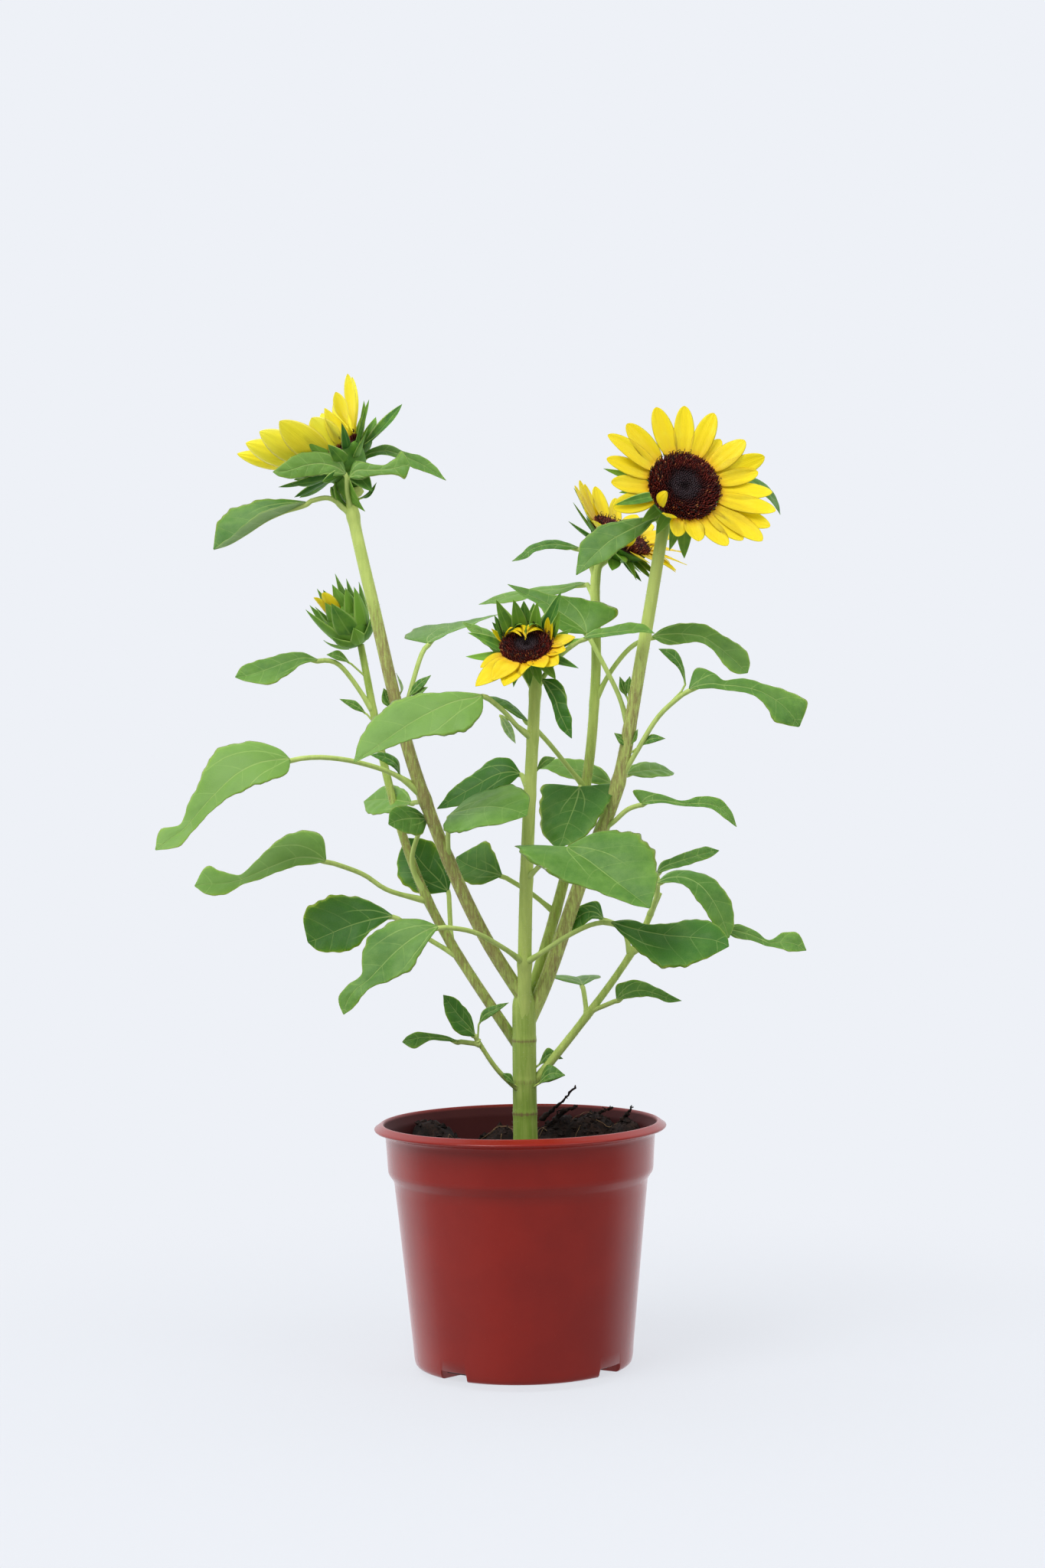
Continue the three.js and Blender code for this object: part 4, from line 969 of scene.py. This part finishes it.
def florets(disc, count, rng):
    """Florets in the golden-turn spiral r = R sqrt(k / n), a = k g, on a brown bed. Each is a five-sided
    spindle that leans outwards: a low shut bud at the middle, taller towards the rim."""
    k = np.arange(count) + 0.5
    out = np.sqrt(k / count)
    angle = k * GOLDEN_TURN
    radius = disc * FLORET_SPREAD * out
    bed = bed_height(disc, out)
    rise = mix(1.1, 3.0, smooth(0.3, 0.75, out)) * rng.uniform(0.8, 1.15, count) * disc / 21
    thick = disc / math.sqrt(count) * 0.80 * rng.uniform(0.85, 1.1, count)
    share = np.array([0.0, 0.55, 0.85, 1.0])
    girth = np.array([0.9, 0.95, 0.75, 0.3])
    lean = np.radians(mix(-4, 24, out)) + rng.normal(0, 0.09, count)
    drift = angle + rng.normal(0, 0.12, count)
    axis = unit(np.stack([np.sin(lean) * np.cos(drift), np.sin(lean) * np.sin(drift), np.cos(lean)], -1))
    side = unit(np.cross(axis, [0.31, 0.87, 0.2]))
    other = np.cross(axis, side)
    foot = np.stack([radius * np.cos(angle), radius * np.sin(angle), bed - 1.2], -1)
    turn = round_angles(FLORET_SIDES)
    circle = side[:, None] * np.cos(turn)[None, :, None] + other[:, None] * np.sin(turn)[None, :, None]
    reach = (share[None] * (rise[:, None] + 1.2))[..., None, None]
    rings = foot[:, None, None] + axis[:, None, None] * reach
    rings = rings + circle[:, None] * (girth[None] * thick[:, None])[..., None, None]
    tones = rng.uniform(0, 1, count)
    inwards = np.array([1.0, 0.85, 0.7, 0.5, 0.3, 0.15, 0.01])
    top = zip(disc * FLORET_SPREAD * inwards, bed_height(disc, inwards) - 0.6)
    profile = [(0.2, -2.6), (disc * 0.96, -2.6), (disc * 0.985, -1.4), *top]
    shapes = [lathe(profile, BLOOM_SIDES, out=0.5, tip=0.0, tone=0.3)]
    for ring, here, tone in zip(rings, out, tones):
        shapes.append(tube(ring, out=here, tip=share[:, None], tone=tone))
    return shapes


def stigmas(disc, count, rng):
    """Dark threads that stand out of the open florets near the rim, each a bow whose end curls back."""
    shapes = []
    for _ in range(count):
        angle, radius = rng.uniform(0, 2 * math.pi), disc * rng.uniform(0.62, 0.99)
        out = np.array([math.cos(angle), math.sin(angle), 0.0])
        side = np.array([-out[1], out[0], 0.0]) * rng.choice([-1, 1])
        turn = np.linspace(0, rng.uniform(2.2, 4.2), STIGMA_POINTS)
        size = rng.uniform(0.7, 1.2)
        sideways = np.sin(turn)[:, None] * (out * 0.4 + side * 0.9)
        upwards = (1 - np.cos(turn))[:, None] * np.array([0, 0, 0.9])
        foot = out * (radius + 0.3) + np.array([0, 0, 2.2 + disc * 0.06])
        line = foot + size * (sideways + upwards) + turn[:, None] * out * 0.35
        shapes.append(rod(line, np.full(STIGMA_POINTS, STIGMA_RADIUS), 4, out=0.2, tip=0.0, tone=0.2))
    return shapes


# Each bloom has the centre of its face, the heading and upward pitch of the way it faces, the radius of its
# disc, the depth of its cup, the count of its florets, and how full its petals are towards foot and tip (a
# and b of a tongue). Its "turn" is how far the petals turn their faces sideways, and "pale" how much paler
# lemon they are painted, which is painted light on the shaded backs of the rays.
bloom_plans = {
    "tall_right": {
        "centre": (100, -20, 505), "heading": -78, "pitch": 20, "disc": 21, "back": 17, "florets": 1100,
        "fullness": (0.55, 0.55),
    },
    "tall_left": {
        "centre": (-101, 0, 530), "heading": 184, "pitch": 52, "disc": 16, "back": 24, "florets": 500,
        # The left bloom's rays show their shaded backs, and "pale" paints them paler lemon: painted light.
        "fullness": (0.5, 0.7), "turn": 75, "pale": 0.7,
    },
    "back_right": {
        "centre": (65, 33, 482), "heading": -33, "pitch": 52, "disc": 19, "back": 16, "florets": 700,
        "fullness": (0.5, 0.6),
    },
    "front": {
        "centre": (8, -27, 415), "heading": -98, "pitch": 45, "disc": 15, "back": 13, "florets": 700,
        "fullness": (0.4, 0.8),
    },
}
# Rays as [angle, lift, bend, length, width]. The angle goes round the face from its lowest point towards
# the right, the lift is their slope at the disc, and the bend is how much it grows to the tip.
ray_plans = {
    "tall_right": [
        (175, 8, 6, 31, 12), (155, 8, 6, 31, 12), (125, 9, 5, 28, 13), (110, 8, 4, 33, 12),
        (85, 6, 6, 32, 12), (70, 9, 6, 35, 12), (60, 5, 8, 35, 11), (50, 9, 4, 36, 12), (40, 4, 8, 27, 11),
        (25, 8, 8, 25, 12), (5, 9, 8, 17, 12), (-15, 10, 6, 15, 10), (-30, 30, 60, 15, 9),
        (-55, 60, 70, 16, 8), (-70, 6, 4, 28, 13), (-90, 8, 6, 25, 12), (-110, 8, 6, 29, 11),
        (-125, 10, 4, 34, 12), (-140, 10, 4, 30, 13), (-165, 8, 8, 31, 13), (100, 4, 4, 26, 11),
        (140, 2, 6, 20, 9),
    ],
    "tall_left": [
        (0, 50, 0, 47, 13), (22, 54, 0, 44, 17), (-18, 50, 2, 44, 17), (38, 60, 0, 41, 18),
        (-40, 60, 0, 40, 18), (60, 60, 0, 36, 18), (-58, 62, 0, 36, 18), (90, 70, 0, 24, 17),
        (-88, 68, 0, 26, 17), (118, 76, 0, 24, 15), (-116, 74, 0, 27, 15), (150, 70, 0, 28, 13),
        (-146, 68, 0, 30, 13), (170, 58, 0, 37, 11), (-172, 50, 8, 36, 7),
    ],
    "back_right": [
        (-175, 22, 22, 24, 12), (-158, 25, 20, 26, 12), (-140, 22, 18, 26, 13), (-122, 25, 15, 25, 12),
        (-104, 18, 12, 24, 12), (165, 20, 18, 24, 12), (-88, 18, 12, 23, 12), (-70, 40, 60, 16, 9),
        (-50, 45, 65, 15, 9), (-24, 6, 10, 18, 10), (2, 8, 10, 18, 10), (24, 4, -4, 21, 12),
        (46, -2, -10, 24, 13), (68, -4, -14, 26, 13), (90, 2, -10, 26, 13), (116, 14, 10, 24, 11),
        (140, 16, 14, 25, 10), (38, 14, -6, 26, 12), (58, 24, -14, 27, 12), (80, 32, -20, 27, 12),
        (102, 20, -10, 26, 12),
    ],
    "front": [
        (-53, 4, 2, 17, 11), (-36, 4, -4, 29, 15), (-27, 8, -2, 22, 13), (-15, 6, -4, 22, 14),
        (-2, 8, 0, 12, 13), (28, 10, 2, 11, 13), (48, 8, 2, 13, 13), (72, 12, 4, 11, 12),
        (93, 12, 4, 15, 10), (-108, 45, 10, 11, 5), (110, 72, 10, 12, 6), (125, 76, 10, 13, 6),
        (140, 96, 90, 16, 4), (155, 100, 110, 17, 3.5), (166, 92, 100, 15, 3.5), (178, 100, 120, 18, 3.5),
        (-170, 96, 90, 16, 3.5), (-158, 104, 110, 18, 3.5), (-145, 96, 90, 16, 4),
        (-132, 100, 100, 16, 3.5), (-118, 90, 60, 13, 4),
    ],
}
# Bracts in the same way, with the depth behind the face at which they are rooted.
bract_plans = {
    "tall_right": [
        (-126, -4, 10, 27, 7, 4), (-112, -8, 12, 30, 6, 6), (-74, 16, -12, 27, 6, -1),
        (4, -30, -20, 24, 9, 8), (-14, -34, -10, 20, 8, 8), (150, -6, 8, 19, 8, 4), (172, -6, 8, 18, 8, 4),
        (-166, -6, 8, 19, 8, 4), (128, -10, 8, 19, 8, 5), (104, -10, 8, 18, 8, 5), (80, -12, 8, 20, 8, 6),
        (56, -14, 8, 20, 8, 6), (30, -16, 8, 20, 8, 6), (-36, -30, 6, 14, 7, 8), (-58, -26, 6, 14, 7, 8),
        (-142, -10, 8, 20, 8, 6), (-95, -14, 6, 20, 8, 7), (92, -26, 10, 18, 8, 10),
        (-120, -26, 10, 18, 8, 10), (45, -30, 10, 18, 8, 10), (-50, -34, 10, 11, 7, 10),
        (170, -26, 10, 18, 8, 10), (-75, -34, 10, 11, 7, 11), (130, -30, 10, 17, 8, 11),
    ],
    "tall_left": [
        (176, 8, 4, 36, 13, 8), (164, 34, 4, 26, 7, 4), (192, 38, 6, 28, 6, 4), (150, 42, 4, 22, 7, 5),
        (115, 36, 4, 20, 7, 4), (66, 56, 4, 25, 8, 4), (20, -60, -12, 21, 12, 12),
        (50, -75, -12, 26, 12, 12), (100, -70, -8, 20, 12, 12), (-30, -66, -10, 22, 12, 12),
        (40, 26, 6, 22, 8, 5), (18, 26, 6, 28, 7, 6), (-8, 22, 6, 29, 6, 7), (30, 8, 10, 26, 9, 9),
        (4, 2, 12, 24, 9, 10), (-40, 26, 6, 24, 9, 6), (-66, 34, 4, 24, 9, 6), (-92, 40, 6, 24, 9, 6),
        (-118, 46, 6, 24, 9, 6), (-150, 38, 6, 26, 9, 6), (205, 20, 10, 28, 10, 9), (-25, 6, 10, 24, 9, 10),
        (86, 30, 8, 20, 9, 10), (60, 4, 12, 20, 9, 12), (130, 20, 10, 22, 9, 11), (-60, 6, 10, 22, 9, 12),
        (-100, 16, 10, 22, 9, 12), (-140, 14, 10, 22, 9, 12),
    ],
    "back_right": [
        (-170, 34, 4, 24, 8, 4), (-148, 30, 4, 26, 8, 4), (-124, 26, 6, 25, 8, 5), (-100, 20, 8, 24, 9, 5),
        (-76, 12, 8, 24, 9, 6), (-50, 6, 10, 22, 9, 6), (-26, 2, 10, 20, 9, 7), (0, -4, 8, 19, 9, 7),
        (24, -6, 8, 19, 8, 7), (48, -6, 8, 19, 8, 7), (72, -4, 8, 20, 8, 6), (96, 2, 8, 20, 8, 6),
        (120, 8, 6, 21, 8, 5), (144, 16, 6, 22, 8, 5), (168, 24, 6, 22, 8, 4), (-136, 2, 14, 22, 9, 10),
        (-90, -8, 14, 20, 9, 11), (-45, -16, 12, 18, 9, 11), (10, -20, 12, 17, 8, 11),
        (60, -18, 12, 17, 8, 11),
    ],
    "front": [
        (-138, 60, 14, 25, 9, 2), (-158, 66, 16, 22, 9, 2), (-176, 70, 16, 20, 9, 2),
        (160, 70, 14, 20, 8, 2), (134, 58, 10, 29, 10, 2), (116, 56, 12, 22, 8, 3),
        (-118, 54, 14, 20, 8, 3), (-148, 46, 10, 24, 10, 6), (-168, 50, 10, 22, 9, 6),
        (170, 50, 10, 22, 10, 6), (148, 46, 10, 23, 9, 6), (-96, 30, 8, 24, 9, 4), (-72, 8, 10, 24, 8, 5),
        (92, 22, 10, 21, 8, 4), (70, 2, 8, 20, 8, 5), (-45, -16, 6, 15, 8, 6), (-20, -30, -10, 13, 6, 7),
        (4, -34, -20, 12, 6, 7), (26, -34, -10, 12, 6, 7), (46, -22, 6, 14, 7, 6), (-150, 92, 80, 15, 4, 0),
        (-172, 96, 100, 16, 4, 0), (162, 92, 90, 15, 4, 0), (146, 88, 60, 13, 4, 0),
        (-130, 20, 12, 22, 9, 8), (120, 18, 12, 22, 9, 8), (-85, -4, 12, 19, 8, 9), (160, 24, 12, 20, 9, 9),
        (-165, 24, 12, 20, 9, 9),
    ],
}


def side_turn(plan, angle):
    """How far a ray or bract turns its face to the bloom's side: most at the top and bottom."""
    return plan.get("turn", 0) * abs(math.cos(math.radians(angle)))


def bloom(name, plan):
    """The seed bed, the green cup with its bracts, and the rays of a bloom, as three pieces."""
    disc, back = plan["disc"], plan["back"]
    rng = np.random.default_rng(len(name) * 31 + disc)
    seeds = florets(disc, plan["florets"], rng) + stigmas(disc, disc * STIGMAS_PER_MM, rng)
    piece(f"florets_{name}", placed(joined(seeds), plan), [DISC])
    greens = [lathe([
        (0.2, -back), (3.4, -back), (disc * 0.45, -back * 0.82), (disc * 0.78, -back * 0.5),
        (disc * 0.98, -4), (disc * 1.01, -2.2), (disc * 0.97, -1.6), (disc * 0.9, -1.6), (0.2, -2.0),
    ], BLOOM_SIDES, edge=0.4, tone=0.5)]
    for angle, lift, bend, length, width, depth in bract_plans[name]:
        root = np.interp(-depth, [-back, -back * 0.5, -4, 0], [4, disc * 0.78, disc * 0.98, disc]) - 1.5
        greens.append(tongue(
            angle + rng.normal(0, 2), root, -depth, lift + rng.normal(0, 3), bend + rng.normal(0, 8),
            length, width, (0.34, 0.9), cup=0.3, twist=rng.normal(0, 12) + 0.9 * side_turn(plan, angle),
            sway=rng.normal(0, 8), thick=0.3, rows=14, columns=4, tone=rng.uniform(0.1, 0.7),
        ))
    piece(f"calyx_{name}", placed(joined(greens), plan), [BRACT], [f"head_{name}"])
    rays = []
    for row, (angle, lift, bend, length, width) in enumerate(ray_plans[name]):
        rays.append(tongue(
            angle, disc * 0.93, 0.5 * (row % 3) - 0.6, lift, bend, length, width, plan["fullness"],
            cup=rng.uniform(0.05, 0.25), twist=rng.normal(0, 14) + side_turn(plan, angle),
            sway=rng.normal(0, 5), thick=0.24, pleat=0.12, rows=26, columns=7,
            # Lowering the tone by "pale" paints the rays paler lemon: painted light.
            tone=rng.uniform(0, 0.35) - plan.get("pale", 0),
        ))
    piece(f"petals_{name}", placed(joined(rays), plan), [PETAL], [f"rays_{name}"])


for bloom_name, bloom_plan in bloom_plans.items():
    bloom(bloom_name, bloom_plan)

# The bud: whorls of bracts that close over one another round a green core, as [count, radius, height,
# lift, bend, length, width], and two petal tips that show between them.
bud_plan = {"centre": (-93, 25, 424), "heading": 192, "pitch": 62}
bud_whorls = [
    (4, 7.5, 8, 88, 6, 29, 13), (5, 10, 5, 82, 6, 27, 15), (6, 10.6, 2, 62, 22, 26, 14),
    (7, 5.6, -4.3, 18, 56, 18, 10),
]
rng = np.random.default_rng(77)
bud_parts = [lathe([
    (0.2, -5), (2.6, -5), (5.5, -4.2), (8.4, -2.2), (10.8, 1), (12.4, 5), (12.6, 10), (11, 16), (7, 21),
    (0.2, 23),
], 48, edge=0.4, tone=0.3)]
for row, (count, radius, height, lift, bend, length, width) in enumerate(bud_whorls):
    for k in range(count):
        bud_parts.append(tongue(
            360 * (k + 0.5 * row + 0.2) / count, radius, height, lift, bend + rng.normal(0, 3),
            length * rng.uniform(0.75, 1.15), width, (0.3, 1.0), cup=0.36, sway=rng.normal(0, 4),
            thick=0.4, rows=24, columns=6, tone=rng.uniform(-0.3, 0.5),
        ))
piece("bud_bracts", placed(joined(bud_parts), bud_plan), [BRACT], ["bud"])
bud_tips = [tongue(angle, 8, 14, 84, -12, 19, 8, (0.6, 0.6), cup=0.5, tone=0.2) for angle in (22, 60)]
piece("bud_petal_tips", placed(joined(bud_tips), bud_plan), [PETAL])

# ---- pot and compost ----
POT_OUTSIDE = [
    (0.2, 0), (48, 0), (58, 0), (61, 0), (62.2, 0.4), (63, 1.4), (63.4, 3), (63.7, 5.2), (64.2, 12),
    (66.5, 35), (69, 60), (71.4, 84), (73.2, 101), (73.7, 106), (74.4, 107.6), (76.6, 110.8), (77.1, 112.2),
    (77.25, 114), (77.8, 124), (78.4, 132), (78.8, 133.6), (79.8, 134.6), (82.4, 135.3), (84.2, 135.8),
    (84.8, 136.3),
]
POT_INSIDE = [
    (85, 136.8), (84.7, 137.3), (83.6, 138), (81.6, 139.5), (80.9, 139.9), (80.4, 140), (79.9, 139.7),
    (79.2, 138), (76.9, 134.8), (76.1, 133), (75.4, 113), (72, 107), (66, 50), (60.5, 7.5), (59.5, 6.2),
    (48, 6), (40, 2.4), (0.2, 2.4),
]
# The inside is painted darker from these points on, as painted shade; the rim's points keep the outside's
# colour.
RIM_POINTS = 7  # the first points of the inside, which are still as bright as the outside
NOTCHES = (-129, -39, 51, 141)  # azimuths of the drainage notches round the foot
NOTCH_HALF_WIDTH = 8.3  # degrees
NOTCH_SLOPE = 0.25  # degrees either side of that
NOTCH_HEIGHT = 5.0


def pot_shape():
    """The pot: a lathe whose underside and foot are lifted to the height of a notch inside each one, with
    a rim that wavers by up to 0.2 mm."""
    narrow, wide = NOTCH_HALF_WIDTH - NOTCH_SLOPE, NOTCH_HALF_WIDTH + NOTCH_SLOPE
    edges = [azimuth + edge for azimuth in NOTCHES for edge in (-wide, -narrow, narrow, wide)]
    angle = np.radians(np.sort(np.concatenate([np.arange(-180, 180, 2.0) + 0.31, edges])))
    profile = np.array(POT_OUTSIDE + POT_INSIDE, float)
    radius, height = (profile[:, k, None] + 0 * angle[None] for k in (0, 1))
    away = (np.degrees(angle)[None] - np.array(NOTCHES)[:, None] + 180) % 360 - 180
    cut = 1 - smooth(narrow, wide, np.min(np.abs(away), axis=0))[None]
    row = np.arange(len(profile))[:, None]
    in_foot = (radius > 50) & (height < NOTCH_HEIGHT + 0.2) & (row < len(POT_OUTSIDE))
    height = np.where(in_foot, np.maximum(height, NOTCH_HEIGHT * cut), height)
    waver = 0.12 * np.sin(5 * angle + 1) + 0.08 * np.sin(13 * angle)
    radius = radius + waver[None] * smooth(132, 138, height)
    # The inside value marks where the pot is painted darker inside, as painted shade.
    return tube(ring_points(radius, height, angle), inside=row >= len(POT_OUTSIDE) + RIM_POINTS)


LATTICE_SIZE = 128  # corners along each side


def lattice_noise(x, y, cell, rng):
    """Smooth random heights: random values on a square lattice, blended between its corners."""
    grid = rng.uniform(-1, 1, (LATTICE_SIZE, LATTICE_SIZE))
    across, up = x / cell + LATTICE_SIZE / 2, y / cell + LATTICE_SIZE / 2
    i, j = (np.floor(value).astype(int) % (LATTICE_SIZE - 1) for value in (across, up))
    s, t = (smooth(0, 1, value - np.floor(value)) for value in (across, up))
    return mix(mix(grid[i, j], grid[i + 1, j], s), mix(grid[i, j + 1], grid[i + 1, j + 1], s), t)


COMPOST_LEVEL = 112.0
COMPOST_SIDES = 260
COMPOST_RINGS = 100
CRUMB_REACH = 73  # the furthest that a crumb lies from the pot's middle
ROOTLET_REACH = 72
ROOTLET_POINTS = 9
TWIG_POINTS = 22
# Heaps of compost as [x, y, height, spread], and its lumps as [size, depth].
HEAPS = (
    (24, 54, 22, 19), (44, 46, 26, 20), (62, 32, 23, 16), (-52, 42, 22, 19), (-12, 48, 17, 15),
    (14, -30, 3, 25),
)
LUMPS = ((14, 2.6), (6, 2.0), (2.8, 1.1), (1.6, 0.5))


def soil_height(x, y):
    """The compost's level plus the highest of its heaps h exp(-(d / s)^2.8), and its lumps."""
    heaps = []
    for middle_x, middle_y, height, spread in HEAPS:
        away = ((x - middle_x) ** 2 + (y - middle_y) ** 2) / spread**2
        heaps.append(height * np.exp(-(away**1.4)))
    level = COMPOST_LEVEL + np.max(heaps, axis=0)
    for seed, (cell, depth) in enumerate(LUMPS, 1):
        level = level + depth * lattice_noise(x, y, cell, np.random.default_rng(seed))
    return level


def soil_shape():
    """A disc of compost under its lumpy surface."""
    angle = round_angles(COMPOST_SIDES)
    side = np.array([(0.2, 3.2), (59, 3.2), (71.0, 106), (74.6, 111)])
    top = ring_points(np.linspace(74.9, 0.3, COMPOST_RINGS)[:, None], 0, angle)
    top[..., 2] = soil_height(top[..., 0], top[..., 1])
    return tube(np.concatenate([ring_points(side[:, :1], side[:, 1:], angle), top]))


def crumbs(count, rng):
    """Little lumps: octahedra with every corner pushed in or out, lying on the compost."""
    corners = np.array([(1, 0, 0), (0, 1, 0), (-1, 0, 0), (0, -1, 0), (0, 0, 1), (0, 0, -1)], float)
    upper = [(k, (k + 1) % 4, 4) for k in range(4)]
    faces = np.array(upper + [(b, a, 5) for a, b, _ in upper])
    radius = CRUMB_REACH * np.sqrt(rng.uniform(0, 1, count))
    angle = rng.uniform(0, 2 * math.pi, count)
    x, y = radius * np.cos(angle), radius * np.sin(angle)
    where = np.stack([x, y, soil_height(x, y) + 0.3], -1)
    size = 0.5 + 2.0 * rng.uniform(0, 1, count) ** 3
    points = corners[None] * rng.uniform(0.6, 1.3, (count, 6, 1)) * size[:, None, None] + where[:, None]
    points = points + rng.normal(0, 0.2, points.shape) * size[:, None, None]
    return Shape(points, [(faces[None] + 6 * np.arange(count)[:, None, None]).reshape(-1, 3)])


def rootlets(count, rng):
    """Pale fibres that lie across the compost and lift here and there."""
    shapes = []
    for _ in range(count):
        radius, angle, heading = 66 * math.sqrt(rng.uniform()), rng.uniform(0, 6.28), rng.uniform(0, 6.28)
        step = np.linspace(0, 1, ROOTLET_POINTS)
        turn = heading + rng.uniform(-1.5, 1.5) * step
        run = rng.uniform(6, 22)
        x = radius * math.cos(angle) * 0.9 + np.cumsum(np.cos(turn)) * run / ROOTLET_POINTS
        y = radius * math.sin(angle) * 0.9 + np.cumsum(np.sin(turn)) * run / ROOTLET_POINTS
        inside = np.minimum(1, ROOTLET_REACH / np.maximum(np.hypot(x, y), 1))
        x, y = x * inside, y * inside
        z = soil_height(x, y) + 0.6 + rng.uniform(0, 1.6) * np.sin(math.pi * step)
        shapes.append(rod(np.stack([x, y, z], -1), np.full(ROOTLET_POINTS, rng.uniform(0.12, 0.3)), 5))
    return joined(shapes)


def twig(way, girth, rng):
    """A ragged scrap of dead plant that stands in a heap: a crooked stem whose girth jumps about, with a
    few short splinters."""
    line = smooth_line(way, TWIG_POINTS)
    line = line + rng.normal(0, 0.35, line.shape)
    radii = girth * np.linspace(1.5, 0.5, TWIG_POINTS) * rng.uniform(0.6, 1.4, TWIG_POINTS)
    shapes = [rod(line, radii, 6)]
    for k in range(2, TWIG_POINTS - 1, 3):
        tip = line[k] + rng.normal(0, 1, 3) * (1.5, 1.2, 1.2) * girth
        splinter = smooth_line([line[k], mix(line[k], tip, 0.6) + (0, 0, 0.5), tip], 5)
        shapes.append(rod(splinter, np.linspace(0.6, 0.15, 5) * girth, 5))
    return joined(shapes)


piece("pot_skin", pot_shape(), [POT], ["pot"])
piece("compost_surface", soil_shape(), [COMPOST], ["compost"])
rng = np.random.default_rng(5)
piece("compost_crumbs", crumbs(2400, rng), [COMPOST], flat=True)
piece("compost_rootlets", rootlets(120, rng), [FIBRE])
scraps = [
    twig([(12, 46, 134), (20, 45, 141), (27, 43, 147), (33, 42, 155)], 1.0, rng),
    twig([(20, 48, 132), (26, 46, 139), (34, 44, 143)], 1.3, rng),
    twig([(60, 34, 134), (64, 33, 139), (67, 32, 143)], 1.2, rng),
    twig([(44, 48, 136), (50, 47, 139), (56, 46, 141)], 1.0, rng),
]
piece("compost_scraps", joined(scraps), [COMPOST])

# ---- stage, light and camera ----
BACKDROP = linear(238, 241, 247)
FLOOR_RADIUS = 3000
FLOOR_THICKNESS = 4
FLOOR_SIDES = 96
PLANT_MIDDLE = (0, 0, 0.30)
CAMERA_PLACE = (0.0045, -1.52, 0.336)
CAMERA_ROLL = -0.9  # degrees
LENS = 59.94  # mm
SENSOR_WIDTH = 36  # mm


def stage_floor():
    """A wide pale disc that fades into the backdrop with distance from the pot."""
    side, foot = FLOOR_RADIUS, -FLOOR_THICKNESS
    shape = lathe([(side - 1, foot), (side, foot), (side, 0), (1, 0)], FLOOR_SIDES)
    paint = Finish("floor_pale", Roughness=0.9, Specular_IOR_Level=0.1)
    paint.shader.inputs["Base Color"].default_value = (*linear(200, 203, 208), 1.0)
    far = paint.node("VectorMath", {"operation": "LENGTH"}, {0: paint.place()}, output="Value")
    clearness = far.share(0.12, 0.6) * 0.14 + 0.86
    solid = Number(paint, paint.shader.outputs[0])
    faded = paint.node("MixShader", None, {0: clearness, 1: solid, 2: paint.node("BsdfTransparent")})
    end = next(node for node in paint.tree.nodes if node.type == "OUTPUT_MATERIAL")
    paint.tree.links.new(faded.socket, end.inputs["Surface"])
    mesh = bpy.data.meshes.new("stage_floor")
    faces = [tuple(face) for part in shape.faces for face in part.tolist()]
    mesh.from_pydata((shape.points * MM).tolist(), [], faces)
    mesh.materials.append(paint.material)
    thing = bpy.data.objects.new("stage_floor", mesh)
    bpy.context.scene.collection.objects.link(thing)


def soft_light(name, place, size, power, color=(1.0, 1.0, 1.0)):
    """A square area light aimed at the middle of the plant."""
    lamp = bpy.data.lights.new(name, "AREA")
    lamp.size = size
    lamp.energy = power
    lamp.color = color
    thing = bpy.data.objects.new(name, lamp)
    aim = Vector(PLANT_MIDDLE) - Vector(place)
    thing.location = place
    thing.rotation_euler = aim.to_track_quat("-Z", "Y").to_euler()
    bpy.context.scene.collection.objects.link(thing)


def camera():
    """A level camera in front of the plant, slightly rolled."""
    lens = bpy.data.cameras.new("camera")
    lens.lens = LENS
    lens.sensor_width = SENSOR_WIDTH
    thing = bpy.data.objects.new("camera", lens)
    level = Euler((math.radians(90), 0, 0)).to_matrix()
    thing.rotation_euler = (level @ Euler((0, 0, math.radians(CAMERA_ROLL))).to_matrix()).to_euler()
    thing.location = CAMERA_PLACE
    bpy.context.scene.collection.objects.link(thing)
    bpy.context.scene.camera = thing


def studio_world():
    """The studio round the plant: a bright backdrop beyond it, a pale ceiling and a dim room on the near
    side. The camera sees an even backdrop in every direction."""
    world = bpy.data.worlds.new("studio")
    world.use_nodes = True
    studio = Nodes(world.node_tree)
    way = studio.node("TexCoord", output="Generated")
    right, beyond, above = (studio.node("SeparateXYZ", None, {0: way}, output=axis) for axis in "XYZ")
    light = beyond.share(-0.1, 0.5) * 0.85 + (0.0 - right).share(0.2, 1.0) * 0.30 + 0.26
    light = light + above.share(0.2, 0.9) * 0.30 + (0.0 - above).share(0.0, 0.3) * 0.40
    seen = studio.node("LightPath", output="Is Camera Ray")
    strength = light * (1.0 - seen) + seen
    back = studio.tree.nodes["Background"]
    back.inputs[0].default_value = (*BACKDROP, 1.0)
    studio.tree.links.new(strength.socket, back.inputs[1])
    bpy.context.scene.world = world


stage_floor()
soft_light("key", (-0.9, -1.1, 2.1), 1.4, 46)
soft_light("fill", (1.4, -0.9, 1.6), 1.5, 14)
studio_world()
camera()
bpy.context.scene.view_settings.view_transform = "Standard"
